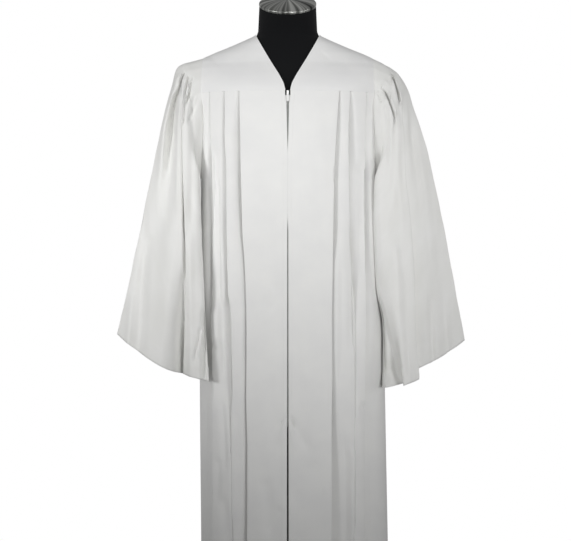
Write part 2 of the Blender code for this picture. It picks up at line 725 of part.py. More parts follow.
def add_object(name, points, faces, finish, smooth_angle=40):
    """A mesh object, with its faces turned outwards."""
    mesh = bpy.data.meshes.new(name)
    mesh.from_pydata([tuple(map(float, p)) for p in points], [], faces)
    mesh.calc_loop_triangles()
    corners = np.array([t.vertices for t in mesh.loop_triangles])
    a, b, c = (np.array(points, float)[corners[:, i]] for i in range(3))
    if (a * np.cross(b, c)).sum() < 0:
        mesh.flip_normals()
    mesh.shade_smooth()
    mesh.set_sharp_from_angle(angle=math.radians(smooth_angle))
    mesh.materials.append(finish)
    made = bpy.data.objects.new(name, mesh)
    bpy.context.scene.collection.objects.link(made)
    return made


def wall(name, grid, finish, thickness=CLOTH, closed=False, level_rows=()):
    """A wall of even thickness through a grid of points down its middle, closed by a rim."""
    normals, corner = wall_normals(grid, closed, level_rows)
    offset = normals * (corner * thickness / 2)[..., None]
    rows, columns = grid.shape[:2]
    points = np.concatenate([(grid + offset).reshape(-1, 3), (grid - offset).reshape(-1, 3)])
    inner = rows * columns

    def corner_at(row, col, layer):
        return layer * inner + row * columns + col % columns

    faces = []
    for row in range(rows - 1):
        for col in range(columns if closed else columns - 1):
            quad = [(row, col), (row, col + 1), (row + 1, col + 1), (row + 1, col)]
            faces.append([corner_at(r, c, 0) for r, c in quad])
            faces.append([corner_at(r, c, 1) for r, c in (quad[0], quad[3], quad[2], quad[1])])
    for col in range(columns if closed else columns - 1):
        for row, turn in ((0, 1), (rows - 1, -1)):
            rim = [corner_at(row, col, 0), corner_at(row, col, 1)]
            rim += [corner_at(row, col + 1, 1), corner_at(row, col + 1, 0)]
            faces.append(rim[::turn])
    if not closed:
        for row in range(rows - 1):
            for col, turn in ((0, -1), (columns - 1, 1)):
                rim = [corner_at(row, col, 0), corner_at(row, col, 1)]
                rim += [corner_at(row + 1, col, 1), corner_at(row + 1, col, 0)]
                faces.append(rim[::turn])
    return add_object(name, points, faces, finish)


def loft(name, rings, finish, smooth_angle=40):
    """A closed solid through rings of points, with a flat cap at each end."""
    rings = np.array(rings)
    count = rings.shape[1]
    faces = [list(range(count)), list(range(len(rings) * count - 1, (len(rings) - 1) * count - 1, -1))]
    for i in range(len(rings) - 1):
        for k in range(count):
            n = (k + 1) % count
            faces.append([i * count + k, (i + 1) * count + k, (i + 1) * count + n, i * count + n])
    return add_object(name, rings.reshape(-1, 3), faces, finish, smooth_angle)


def turned(name, profile, finish, segments=48):
    """A solid turned about Z from (radius, height) rows, the ends closed by flat discs."""
    angle = np.linspace(0, 2 * math.pi, segments, endpoint=False)
    rings = [
        np.stack([r * np.cos(angle), r * np.sin(angle), np.full(segments, h)], axis=-1)
        for r, h in profile
    ]
    return loft(name, rings, finish)


# The pieces of the robe.


def robe_cloth(cloth):
    """The yokes, the front and back panels and the sleeves."""
    for side in SIDES:
        wall(f"front_yoke_{side}", front_yoke_grid(side), cloth, level_rows=(-1,))
        wall(f"front_panel_{side}", front_panel_grid(side), cloth, level_rows=(0,))
        wall(f"sleeve_{side}", sleeve_grid(side), cloth, closed=True)
    wall("back_yoke", back_yoke_grid(), cloth, level_rows=(-1,))
    wall("back_panel", back_panel_grid(), cloth, level_rows=(0,))


def front_depth_at_centre(z):
    """How far forward the middle of the cloth is at the centre front, between the panel's rows."""
    rows = np.array(BODY_ROW_HEIGHTS[::-1])
    return float(np.interp(z, rows, column(BODY, "front", rows)))


def zip_heights(top, bottom):
    """Heights for the zip's rows: its two ends and the panel's rows between them."""
    return [top, *(z for z in BODY_ROW_HEIGHTS if bottom < z < top), bottom]


def zip_tape(side, cloth):
    """A tape behind one front edge, from below the slider to the zip's bottom stop."""
    inner = ZIP_CHAIN_WIDTH / 2 + CLEARANCE
    x = np.linspace(inner, inner + TAPE_WIDTH, 2) * SIDES[side]
    grid = []
    for z in zip_heights(SLIDER_TOP - SLIDER_LENGTH - CLEARANCE, ZIP_BOTTOM):
        y = -front_depth_at_centre(z) + (CLOTH + TAPE_DEPTH) / 2 + TAPE_CLEARANCE
        grid.append(np.stack([x, np.full(2, y), np.full(2, z)], axis=-1))
    return wall(f"zip_tape_{side}", np.array(grid), cloth, TAPE_DEPTH)


def zip_chain(plastic):
    """The closed chain between the tapes."""
    rings = []
    for z in zip_heights(SLIDER_TOP - SLIDER_LENGTH - CLEARANCE, ZIP_BOTTOM + 0.004):
        y = -front_depth_at_centre(z) + (CLOTH + ZIP_CHAIN_DEPTH) / 2 + TAPE_CLEARANCE
        w, d = ZIP_CHAIN_WIDTH / 2, ZIP_CHAIN_DEPTH / 2
        rings.append([(-w, y - d, z), (w, y - d, z), (w, y + d, z), (-w, y + d, z)])
    return loft("zip_chain", rings, plastic)


def slider_place():
    """The slider's middle: its height, and how far forward it is."""
    z = SLIDER_TOP - SLIDER_LENGTH / 2
    y = -front_depth_at_centre(z) + (CLOTH + TAPE_DEPTH) / 2 + TAPE_CLEARANCE
    return y, z


def bevelled_box(name, size, centre, bevel, finish):
    half = np.array(size) / 2
    signs = [(-1, -1), (1, -1), (1, 1), (-1, 1)]
    points = [
        (centre[0] + sx * half[0], centre[1] + sy * half[1], centre[2] + sz * half[2])
        for sz in (-1, 1)
        for sx, sy in signs
    ]
    faces = [(0, 1, 2, 3), (7, 6, 5, 4), (0, 4, 5, 1), (1, 5, 6, 2), (2, 6, 7, 3), (3, 7, 4, 0)]
    made = add_object(name, points, faces, finish)
    edge = made.modifiers.new("rounded edges", "BEVEL")
    edge.width = bevel
    edge.segments = 2
    return made


def zip_slider(metal):
    """The slider's body, with the crown that its pull tab hangs from."""
    y, z = slider_place()
    size = (SLIDER_WIDTH, SLIDER_DEPTH, SLIDER_LENGTH)
    body = bevelled_box("zip_slider", size, (0, y, z), SLIDER_BEVEL, metal)
    crown = crown_mesh(y - SLIDER_DEPTH / 2, z, metal)
    join = body.modifiers.new("crown", "BOOLEAN")
    join.operation = "UNION"
    join.object = crown
    join.solver = "EXACT"
    return body


def crown_mesh(face_y, z, metal):
    """The crown, a square staple standing on the slider's face, sunk into it a little."""
    half = CROWN_INNER_LENGTH / 2
    outer = half + CROWN_WALL
    foot = face_y + CROWN_SINK
    inner_top = face_y - CROWN_INNER_DEPTH
    outer_top = inner_top - CROWN_WALL
    slope = CROWN_SLOPE
    outline = [
        (foot, -outer),
        (outer_top + slope, -outer),
        (outer_top, -outer + slope),
        (outer_top, outer - slope),
        (outer_top + slope, outer),
        (foot, outer),
        (foot, half),
        (inner_top, half),
        (inner_top, -half),
        (foot, -half),
    ]
    count = len(outline)
    points = [(x, y, z + dz) for x in (-CROWN_WIDTH / 2, CROWN_WIDTH / 2) for y, dz in outline]
    faces = [(k, (k + 1) % count, count + (k + 1) % count, count + k) for k in range(count)]
    faces += [list(range(count))[::-1], list(range(count, 2 * count))]
    made = add_object("crown_helper", points, faces, metal)
    made.hide_render = True
    made.display_type = "WIRE"
    return made


def pull_axis():
    """The line that the pull tab turns about: its bar, under the slider's crown."""
    y, z = slider_place()
    return y - SLIDER_DEPTH / 2 - CROWN_INNER_DEPTH / 2, z


def zip_pull(metal):
    """The pull tab: a bar under the crown, an eye round the crown's leg, and a flat tongue."""
    axis_y, axis_z = pull_axis()
    eye_half = CROWN_WIDTH / 2 + PULL_EYE_PLAY
    head_half = eye_half + PULL_EYE_WALL
    outline_half = [
        (head_half, PULL_BAR_RADIUS),
        (head_half, -PULL_EYE_LENGTH),
        (PULL_WIDTH / 2, -PULL_EYE_LENGTH - PULL_SHOULDER),
        (PULL_WIDTH / 2, -PULL_LENGTH + PULL_SHOULDER),
        (PULL_WIDTH / 2 - PULL_CORNER, -PULL_LENGTH),
    ]
    outline = [(x, h) for x, h in outline_half] + [(-x, h) for x, h in outline_half[::-1]]
    eye_foot = -PULL_EYE_LENGTH + PULL_EYE_MARGIN
    eye = [
        (eye_half, -PULL_BAR_RADIUS),
        (eye_half, eye_foot),
        (-eye_half, eye_foot),
        (-eye_half, -PULL_BAR_RADIUS),
    ]
    half = PULL_THICKNESS / 2
    points = [(x, y, h) for y in (-half, half) for x, h in outline + eye]
    n, m = len(outline), len(eye)
    total = n + m
    faces = []
    for start, count, turn in ((0, n, 1), (n, m, -1)):
        for k in range(count):
            a, b = start + k, start + (k + 1) % count
            faces.append([a, b, total + b, total + a][::turn])
    # Each flat side is the outline less the eye: strips that join the two.
    strips = [
        (0, 1, n + 1, n + 0),
        (1, 2, 3, 4, 5, 6, 7, 8, n + 2, n + 1),
        (8, 9, n + 3, n + 2),
        (9, 0, n + 0, n + 3),
    ]
    for strip in strips:
        faces.append([total + k for k in strip])
        faces.append(list(strip)[::-1])
    c, s = math.cos(PULL_REST_TILT), math.sin(PULL_REST_TILT)
    points = [(x, y * c + h * s, h * c - y * s) for x, y, h in points]
    made = add_object("zip_pull", points, faces, metal)
    made.location = (0, axis_y, axis_z)
    return made


# The dress form and its stand.


def form_ring(z, count=FORM_SEGMENTS):
    angle = np.linspace(0, 2 * math.pi, count, endpoint=False)
    power = 2 / float(column(FORM, "roundness", z))
    width = float(column(FORM, "half_width", z))
    ahead = np.cos(angle)
    depth = np.where(ahead > 0, float(column(FORM, "front", z)), float(column(FORM, "back", z)))
    x = width * np.sign(np.sin(angle)) * np.abs(np.sin(angle)) ** power
    y = -depth * np.sign(ahead) * np.abs(ahead) ** power
    return np.stack([x, y, np.full(count, z)], axis=-1)


def neck_ring(share, count=FORM_SEGMENTS):
    """A ring of the neck, from its root to its tilted top."""
    root = form_ring(FORM["height"][-1], count)
    angle = np.linspace(0, 2 * math.pi, count, endpoint=False)
    flat_x = NECK_TOP_RADIUS * np.sin(angle)
    ahead = NECK_TOP_RADIUS * np.cos(angle)
    top = np.stack(
        [
            flat_x,
            -NECK_TOP_FORWARD - ahead * math.cos(NECK_TOP_TILT),
            NECK_TOP_HEIGHT - ahead * math.sin(NECK_TOP_TILT),
        ],
        axis=-1,
    )
    return root + (top - root) * share


def form_torso(fabric):
    heights = [0.800, 0.806, 0.850, 0.920, 1.000, 1.060, 1.140, 1.220, 1.290, 1.330]
    heights += [1.352, 1.366, 1.378, 1.386, 1.395, 1.404, 1.413, 1.421, 1.429, 1.434, 1.4395, 1.450]
    rings = [form_ring(z) for z in heights]
    inset = np.array([0.94, 0.94, 1])
    rings[0] = rings[0] * inset
    rings += [neck_ring(share) for share in (0.5, 1.0)]
    return loft("form_torso", rings, fabric, 50)


def neck_cap(metal):
    """A low domed disc on the neck, tilted forward with it."""
    gap = CLEARANCE
    rim = NECK_TOP_RADIUS + 0.0006
    profile = [(rim - 0.0008, gap), (rim, gap + 0.0008), (rim, gap + CAP_THICKNESS - 0.001)]
    for k in range(1, 6):
        lift = math.radians(90 * k / 6)
        profile.append((rim * math.cos(lift), gap + CAP_THICKNESS + CAP_DOME * math.sin(lift)))
    cap = turned("form_neck_cap", profile, metal, FORM_SEGMENTS)
    cap.rotation_euler = (NECK_TOP_TILT, 0, 0)
    cap.location = (0, -NECK_TOP_FORWARD, NECK_TOP_HEIGHT)
    return cap


def stand(metal):
    top = FORM["height"][0] - CLEARANCE
    collar_foot = BASE_THICKNESS
    turned("stand_pole", [(POLE_RADIUS, BASE_THICKNESS + CLEARANCE), (POLE_RADIUS, top)], metal, 24)
    turned(
        "stand_base",
        [
            (BASE_RADIUS - 0.001, 0),
            (BASE_RADIUS, 0.001),
            (BASE_RADIUS, BASE_THICKNESS - BASE_EDGE),
            (BASE_RADIUS - BASE_EDGE, BASE_THICKNESS),
        ],
        metal,
        48,
    )
    bore = POLE_RADIUS + CLEARANCE
    angle = np.linspace(0, 2 * math.pi, 24, endpoint=False)
    section = [
        (bore, collar_foot + CLEARANCE),
        (COLLAR_RADIUS, collar_foot + CLEARANCE),
        (COLLAR_RADIUS, collar_foot + COLLAR_HEIGHT - 0.003),
        (COLLAR_RADIUS - 0.003, collar_foot + COLLAR_HEIGHT),
        (bore, collar_foot + COLLAR_HEIGHT),
    ]
    points = [(r * math.cos(a), r * math.sin(a), h) for a in angle for r, h in section]
    n, m = len(angle), len(section)
    faces = [
        [i * m + k, ((i + 1) % n) * m + k, ((i + 1) % n) * m + (k + 1) % m, i * m + (k + 1) % m]
        for i in range(n)
        for k in range(m)
    ]
    add_object("stand_collar", points, faces, metal)


def main():
    for old in list(bpy.data.objects):
        bpy.data.objects.remove(old)
    cloth = material("white polyester", (0.80, 0.80, 0.79), 0.6)
    zip_white = material("white zip", (0.82, 0.82, 0.80), 0.45)
    zip_metal = material("white lacquered metal", (0.78, 0.78, 0.77), 0.35, 0.1)
    jersey = material("black jersey", (0.012, 0.012, 0.014), 0.85)
    steel = material("brushed steel", (0.62, 0.62, 0.60), 0.28, 1.0)
    robe_cloth(cloth)
    for side in SIDES:
        zip_tape(side, zip_white)
    zip_chain(zip_white)
    zip_slider(zip_metal)
    zip_pull(zip_metal)
    form_torso(jersey)
    neck_cap(steel)
    stand(steel)


main()
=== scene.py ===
import math

import bpy
import numpy as np
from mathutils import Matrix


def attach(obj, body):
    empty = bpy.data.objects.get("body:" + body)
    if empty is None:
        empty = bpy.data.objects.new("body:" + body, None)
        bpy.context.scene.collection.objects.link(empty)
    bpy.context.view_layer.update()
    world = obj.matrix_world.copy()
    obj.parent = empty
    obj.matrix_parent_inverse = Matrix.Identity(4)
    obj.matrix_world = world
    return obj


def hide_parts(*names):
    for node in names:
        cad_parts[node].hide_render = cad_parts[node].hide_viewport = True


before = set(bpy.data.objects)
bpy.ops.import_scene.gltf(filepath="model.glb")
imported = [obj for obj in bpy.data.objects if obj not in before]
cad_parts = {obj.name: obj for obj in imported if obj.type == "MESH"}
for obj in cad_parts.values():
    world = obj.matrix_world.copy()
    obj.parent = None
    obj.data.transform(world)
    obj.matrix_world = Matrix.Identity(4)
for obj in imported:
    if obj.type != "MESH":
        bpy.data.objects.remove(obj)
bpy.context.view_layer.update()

# The stand. A round weighted base plate, a pole and the collar that clamps it, all of brushed
# stainless steel. The plate's edge is eased, and the pole goes up into the form.


def linear(code):
    """A linear colour from an sRGB hex code."""
    parts = [int(code[i : i + 2], 16) / 255 for i in (1, 3, 5)]
    return (*(p / 12.92 if p <= 0.04045 else ((p + 0.055) / 1.055) ** 2.4 for p in parts), 1.0)


def node(tree, kind, sockets=None, **settings):
    """Adds a node. A socket is given a number or colour, or another node's output to follow."""
    made = tree.nodes.new("ShaderNode" + kind)
    for name, value in settings.items():
        setattr(made, name, value)
    for socket, value in (sockets or {}).items():
        if isinstance(value, bpy.types.NodeSocket):
            tree.links.new(value, made.inputs[socket])
        else:
            made.inputs[socket].default_value = value
    return made


def finish(name, **sockets):
    """A new material and its node tree, with its shader's plain values set."""
    made = bpy.data.materials.new(name)
    made.use_nodes = True
    shader = made.node_tree.nodes["Principled BSDF"]
    for socket, value in sockets.items():
        shader.inputs[socket.replace("_", " ")].default_value = value
    return made, made.node_tree


def patterned(made, pattern, tones, stops=(0.0, 1.0), relief=None, strength=0.0, height=0.0):
    """The material, coloured between two tones by a pattern, and raised by a relief if it has one."""
    tree = made.node_tree
    shader = tree.nodes["Principled BSDF"]
    tone = node(tree, "ValToRGB", {"Fac": pattern})
    for element, code, stop in zip(tone.color_ramp.elements, tones, stops):
        element.position = stop
        element.color = linear(code)
    tree.links.new(tone.outputs["Color"], shader.inputs["Base Color"])
    if relief is not None:
        bump = node(tree, "Bump", {"Height": relief, "Strength": strength, "Distance": height})
        tree.links.new(bump.outputs["Normal"], shader.inputs["Normal"])
    return made


def brushed_stainless():
    """Stainless steel, brushed: a grey metal whose fine scratches spread its highlights."""
    made, tree = finish("brushed_stainless_steel", Metallic=1.0, Roughness=0.3)
    place = node(tree, "TexCoord").outputs["Object"]
    scratch_mm = 0.8
    noise = {"Vector": place, "Scale": 1000 / scratch_mm / 6, "Detail": 3.0, "Roughness": 0.6}
    scratches = node(tree, "TexNoise", noise).outputs["Fac"]
    return patterned(made, scratches, ("#9C9D9C", "#C4C5C3"), relief=scratches, strength=0.08, height=0.0003)


def wear(piece, finish_made):
    """Gives a piece, or a CAD node that stays, its finish."""
    piece.data.materials.clear()
    piece.data.materials.append(finish_made)


stainless = brushed_stainless()
for part in ("stand_base", "stand_pole", "stand_collar"):
    wear(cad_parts[part], stainless)

# The dress form's torso, from its flat underside to the top of the neck. It is a padded shell
# under one tight cover of black cotton jersey, sewn closed down the back.


def table(columns, *rows):
    """A table with named columns, each an array down the rows."""
    values = np.array(rows, float)
    return {name: values[:, i] for i, name in enumerate(columns.split())}


def smooth_curve(at, keys, values):
    """Values at the given places, on a smooth curve through the rows that never overshoots them."""
    order = np.argsort(keys)
    keys, values = np.asarray(keys, float)[order], np.asarray(values, float)[order]
    step = np.diff(keys)
    rise = np.diff(values) / step
    slope = np.zeros(len(keys))
    slope[0], slope[-1] = rise[0], rise[-1]
    same_way = rise[:-1] * rise[1:] > 0
    weight = np.where(same_way, rise[:-1] * rise[1:], 0.0)
    slope[1:-1] = 2 * weight / np.where(same_way, rise[:-1] + rise[1:], 1.0)
    at = np.clip(at, keys[0], keys[-1])
    i = np.clip(np.searchsorted(keys, at, side="right") - 1, 0, len(step) - 1)
    t = (at - keys[i]) / step[i]
    return (
        (2 * t**3 - 3 * t**2 + 1) * values[i]
        + (t**3 - 2 * t**2 + t) * step[i] * slope[i]
        + (3 * t**2 - 2 * t**3) * values[i + 1]
        + (t**3 - t**2) * step[i] * slope[i + 1]
    )


def column(rows, name, at, key="height"):
    """One column of a table, read on a smooth curve at the given places."""
    return smooth_curve(at, rows[key], rows[name])


FORM = table(
    "height half_width front back roundness",
    (0.8, 0.158, 0.104, 0.118, 2.3), (0.9, 0.168, 0.108, 0.126, 2.3), (1, 0.15, 0.102, 0.102, 2.2),
    (1.06, 0.143, 0.102, 0.094, 2.2), (1.16, 0.156, 0.11, 0.102, 2.3), (1.25, 0.178, 0.114, 0.112, 2.4),
    (1.31, 0.202, 0.107, 0.112, 2.3), (1.34, 0.213, 0.096, 0.105, 2.2), (1.36, 0.213, 0.084, 0.094, 2.1),
    (1.376, 0.203, 0.073, 0.084, 2), (1.39, 0.181, 0.066, 0.077, 2), (1.414, 0.123, 0.058, 0.069, 2),
    (1.43, 0.086, 0.056, 0.064, 2), (1.4385, 0.07, 0.056, 0.061, 2), (1.45, 0.065, 0.058, 0.058, 2),
)
NECK_TOP_HEIGHT = 1.506
NECK_TOP_RADIUS = 0.0622
NECK_TOP_FORWARD = 0.012
NECK_TOP_TILT = math.radians(26)
NECK_RIM = 0.0025
NECK_RIM_ROUND = 0.0002
NECK_RIM_DIP = 0.0006
NECK_SHARES = np.linspace(0.05, 0.96, 18)
TORSO_SIDES = 128
TORSO_HEIGHTS = [0.800, *np.linspace(0.803, 1.325, 60), *np.linspace(1.330, 1.450, 48)]
UNDERSIDE_SHARE = 0.975
# The padding gives under the robe's front pleats, by a share of its depth: in full up to the first
# height, and no more from the second.
PADDING_GIVE = 0.11
PADDING_GIVES_TO = (1.265, 1.305)
SOFT_BEND = 50
ROBE = "robe_on_form"


def mesh_piece(name, points, faces, body=ROBE, smooth_angle=180):
    """A mesh object that rides on a body, smooth except along edges sharper than the angle."""
    mesh = bpy.data.meshes.new(name)
    mesh.from_pydata(np.asarray(points, float).tolist(), [], faces)
    mesh.shade_smooth()
    if smooth_angle < 180:
        mesh.set_sharp_from_angle(angle=math.radians(smooth_angle))
    made = bpy.data.objects.new(name, mesh)
    bpy.context.scene.collection.objects.link(made)
    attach(made, body)
    return made


def loft_faces(rings, around):
    """Quads between rings of points, and a flat face over each end."""
    faces = []
    for i in range(rings - 1):
        for k in range(around):
            here, beside = i * around + k, i * around + (k + 1) % around
            faces.append((here, beside, beside + around, here + around))
    faces.append(tuple(range(around))[::-1])
    faces.append(tuple(range((rings - 1) * around, rings * around)))
    return faces


def form_ring(z, angle):
    """A level ring of the torso."""
    power = 2 / float(column(FORM, "roundness", z))
    ahead = np.cos(angle)
    depth = np.where(ahead > 0, float(column(FORM, "front", z)), float(column(FORM, "back", z)))
    x = float(column(FORM, "half_width", z)) * np.sign(np.sin(angle)) * np.abs(np.sin(angle)) ** power
    y = -depth * np.sign(ahead) * np.abs(ahead) ** power
    return np.stack([x, y, np.full(len(angle), z)], axis=-1)


def neck_top(angle, radius, lift):
    """A ring on the neck's tilted top, at a radius and a height above it."""
    ahead = radius * np.cos(angle)
    c, s = math.cos(NECK_TOP_TILT), math.sin(NECK_TOP_TILT)
    y = -NECK_TOP_FORWARD - ahead * c - lift * s
    return np.stack([radius * np.sin(angle), y, NECK_TOP_HEIGHT - ahead * s + lift * c], axis=-1)


def torso_points(angle):
    """The torso's rings, from its flat underside to the rim of its neck."""
    rings = [form_ring(z, angle) for z in TORSO_HEIGHTS]
    rings[0] = rings[0] * np.array([UNDERSIDE_SHARE, UNDERSIDE_SHARE, 1])
    for ring, z in zip(rings, TORSO_HEIGHTS):
        give = PADDING_GIVE * np.interp(z, PADDING_GIVES_TO, (1, 0))
        ring[:, 1] *= np.where(ring[:, 1] < 0, 1 - give, 1)
    root, top = rings[-1], neck_top(angle, NECK_TOP_RADIUS, 0)
    rings += [root + (top - root) * share for share in NECK_SHARES]
    rings.append(neck_top(angle, NECK_TOP_RADIUS - NECK_RIM_ROUND, -NECK_RIM_DIP))
    rings.append(neck_top(angle, NECK_TOP_RADIUS - NECK_RIM / 2, 0))
    return rings


def black_jersey():
    """Cotton jersey stretched over padding: dull black, with the fine ribs of a plain knit."""
    soft = {"Sheen_Weight": 0.03, "Sheen_Roughness": 0.5, "Specular_IOR_Level": 0.25}
    made, tree = finish("black_cotton_jersey", Roughness=0.92, **soft)
    place = node(tree, "TexCoord").outputs["Object"]
    rib_mm = 1.6
    wave = {"Vector": place, "Scale": 1000 / rib_mm / 20, "Distortion": 0.6, "Detail": 1.0}
    ribs = node(tree, "TexWave", wave).outputs["Fac"]
    lint = node(tree, "TexNoise", {"Vector": place, "Scale": 900.0, "Detail": 3.0}).outputs["Fac"]
    return patterned(made, lint, ("#050608", "#0C0D10"), relief=ribs, strength=0.15, height=0.0004)


torso_angles = np.linspace(0, 2 * math.pi, TORSO_SIDES, endpoint=False)
torso_rings = torso_points(torso_angles)
torso_faces = loft_faces(len(torso_rings), TORSO_SIDES)
torso = mesh_piece("dress_form", np.concatenate(torso_rings), torso_faces, smooth_angle=SOFT_BEND)
wear(torso, black_jersey())
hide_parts("form_torso")

# The neck cap. A low spun dome of stainless steel that closes the form's neck, held down on it by
# a screw from inside. Its light and dark streaks fan out from the middle, and are painted
# reflections in its colour.
CAP_RIM = NECK_TOP_RADIUS + 0.0006
CAP_THICKNESS = 0.004
CAP_DOME = 0.010
CAP_GAP = 0.0003
CAP_EDGE = ((-0.0010, 0), (-0.0002, 0.0002), (0, 0.0012))
CAP_STEPS = 24


def cap_profile():
    """The cap's radius and height from its eased lower edge up its side and over its dome."""
    rows = [(CAP_RIM + out, CAP_GAP + up) for out, up in CAP_EDGE]
    rows.append((CAP_RIM, CAP_GAP + CAP_THICKNESS - CAP_EDGE[-1][1]))
    for k in range(1, CAP_STEPS):
        lift = math.radians(90 * k / CAP_STEPS)
        rows.append((CAP_RIM * math.cos(lift), CAP_GAP + CAP_THICKNESS + CAP_DOME * math.sin(lift)))
    return rows


def spun_stainless():
    """Stainless steel, spun and brushed, with painted reflections: light and dark streaks in its colour fan
    out round its centre.
    """
    made, tree = finish("spun_stainless_steel", Metallic=1.0, Roughness=0.32, Anisotropic=0.6)
    place = node(tree, "TexCoord").outputs["Object"]
    centre = (0.0, -NECK_TOP_FORWARD, NECK_TOP_HEIGHT)
    from_centre = node(tree, "VectorMath", {0: place, 1: centre}, operation="SUBTRACT")
    parts = node(tree, "SeparateXYZ", {"Vector": from_centre.outputs["Vector"]}).outputs
    angle = node(tree, "Math", {0: parts["X"], 1: parts["Y"]}, operation="ARCTAN2")
    noise = {"W": angle.outputs["Value"], "Scale": 2.6, "Detail": 3.0, "Roughness": 0.6}
    # Painted reflections: the colour turns from dark to light by the angle round the cap's centre.
    painted_reflections = node(tree, "TexNoise", noise, noise_dimensions="1D")
    return patterned(made, painted_reflections.outputs["Fac"], ("#3A3C3A", "#D8D9D5"), stops=(0.38, 0.62))


cap_rows = cap_profile()
cap_points = np.concatenate([neck_top(torso_angles, radius, lift) for radius, lift in cap_rows])
cap = mesh_piece("neck_cap", cap_points, loft_faces(len(cap_rows), TORSO_SIDES), smooth_angle=SOFT_BEND)
wear(cap, spun_stainless())
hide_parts("form_neck_cap")

# The front yokes. Two flat pieces of the robe's white polyester, from the shoulder seam to the
# yoke seam, with the V of the neck turned in and faced, so that its edge stands a little proud.
CLOTH = 0.0006
SEAM_GAP = 0.00006
SEAM_DIP = 0.0002
ARMPIT_HEIGHT = 1.125
YOKE_SEAM_HEIGHT = 1.310
HEM_PLY = 0.0011
HEM_RAISED = 0.0005
STITCH_PITCH = 0.0032
STITCH_LENGTH = 0.0025
STITCH_WIDTH = 0.0005
STITCH_SUNK = 0.0001
STITCH_PROBE = 0.001
NECK_STITCH_COLUMN = 3
NECK_HALF_WIDTH = 0.0693
SHOULDER_HALF_WIDTH = 0.1865
YOKE_SEAM_HALF_WIDTH = 0.1875
SHOULDER_EASE = 0.0026
SIDE_EASE = 0.0014
NECK_EASE = 0.0009
YOKE_HEM_EASE = 0.0075
EASE_FROM_HEIGHT = 1.375
NECK_EASE_HEIGHTS = (1.405, 1.425)
SHOULDER_HEIGHTS = np.linspace(1.352, 1.4410, 400)
# How high the neck's turned edge stands, and how wide it fades.
NECK_HEM = (0.0007, 0.0035)
NECK_FADE_HEIGHTS = (1.385, 1.43)
NECK_FADE = 0.6
FRONT_YOKE_ROWS = 56
FRONT_YOKE_COLUMNS = 90
YOKE_ROW_POWER = 1.5
YOKE_SEAM_CALM = 0.02
# Where a crease fades in and where it fades out, as shares of its length.
CREASE_START = (-0.06, 0.08)
CREASE_STOP = (0.80, 1.12)
SIDES = {"right": -1, "left": 1}
NECKLINE = table(
    "height half_width",
    (1.31, 0.005), (1.324, 0.0082), (1.339, 0.015), (1.36, 0.0268), (1.385, 0.0412),
    (1.412, 0.0562), (1.428, 0.0645), (1.4388, 0.0693),
)


def creases(*rows):
    """A table of creases, from end 0 to end 1. A row may leave out lean 0 and sharp 2 at its end."""
    plain = (0, 2)
    full = [(*row, *plain[len(row) - 9 :]) for row in rows]
    return table("x0 z0 x1 z1 bow wide0 wide1 deep0 deep1 lean sharp", *full)


YOKE_CREASES = creases(
    (-0.176, 1.395, -0.128, 1.352, 0.002, 0.007, 0.012, 0.0012, 0.0006, 0.3),
    (-0.09, 1.4, -0.12, 1.338, -0.003, 0.01, 0.016, 0.0008, 0.0005),
    (-0.06, 1.395, -0.088, 1.33, 0.004, 0.012, 0.018, 0.0006, 0.0004),
    (0.07, 1.4, 0.098, 1.372, 0.002, 0.005, 0.009, 0.0011, 0.0007, -0.3),
    (0.085, 1.392, 0.15, 1.345, 0.003, 0.01, 0.016, 0.0007, 0.0005),
    (0.17, 1.382, 0.158, 1.325, -0.002, 0.006, 0.01, 0.0009, 0.0005),
    (0.06, 1.352, 0.11, 1.326, 0, 0.012, 0.018, 0.0005, 0.0004),
)


def ramp(value, start, end):
    """0 before start, 1 past end, and a smooth rise between them."""
    t = np.clip((value - start) / (end - start), 0, 1)
    return t * t * (3 - 2 * t)


def unit(vectors):
    """Vectors made one long."""
    return vectors / np.maximum(np.linalg.norm(vectors, axis=-1, keepdims=True), 1e-12)


def outward(grid, closed=False):
    """Unit normals of a grid, turned away from the middle of the robe or sleeve."""
    if closed:
        across = np.roll(grid, -1, axis=1) - np.roll(grid, 1, axis=1)
    else:
        across = np.gradient(grid, axis=1)
    normals = unit(np.cross(across, np.gradient(grid, axis=0)))
    middle = grid.mean(axis=1, keepdims=True) if closed else np.zeros(3)
    away = (grid - middle) * np.array([1, 1, 0])
    return normals * (1 if (normals * away).sum() > 0 else -1)


def pressed_by(creases, points, facing):
    """How far creases press each point in. Facing is each point's share of turning to the front."""
    x, z = points[..., 0], points[..., 2]
    pressed = np.zeros(x.shape)
    for i in range(len(creases["x0"])):
        row = {name: float(values[i]) for name, values in creases.items()}
        run_x, run_z = row["x1"] - row["x0"], row["z1"] - row["z0"]
        length = math.hypot(run_x, run_z)
        along = ((x - row["x0"]) * run_x + (z - row["z0"]) * run_z) / length**2
        off = ((z - row["z0"]) * run_x - (x - row["x0"]) * run_z) / length
        off = off - row["bow"] * 4 * along * (1 - along)
        share = np.clip(along, 0, 1)
        wide = row["wide0"] + (row["wide1"] - row["wide0"]) * share
        wide = wide * (1 + row["lean"] * np.sign(off))
        deep = row["deep0"] + (row["deep1"] - row["deep0"]) * share
        ends = ramp(along, *CREASE_START) * ramp(-along, -CREASE_STOP[1], -CREASE_STOP[0])
        pressed += deep * ends * np.exp(-np.abs(off / wide) ** row["sharp"])
    return pressed * facing


def uneven(points, height):
    """The small unevenness of hung cloth: long soft waves that run mostly down it."""
    x, y, z = points[..., 0], points[..., 1], points[..., 2]
    around = x * 1.3 + y * 0.9
    waves = np.sin(around * 71 + z * 5.3 + 0.4) * np.sin(z * 13.7 + around * 9 + 1.1)
    waves += 0.6 * np.sin(around * 133 - z * 11 + 2.2) * np.sin(z * 29 + around * 21)
    waves += 0.35 * np.sin(around * 37 + z * 47 + 0.7) * np.sin(z * 61 - around * 31 + 2.9)
    return height * waves


def section_depth(x, width, depth, power):
    """How far a rounded section's edge is from the plane of the shoulders, at x."""
    return depth * (1 - np.clip(np.abs(x) / width, 0, 1) ** power) ** (1 / power)


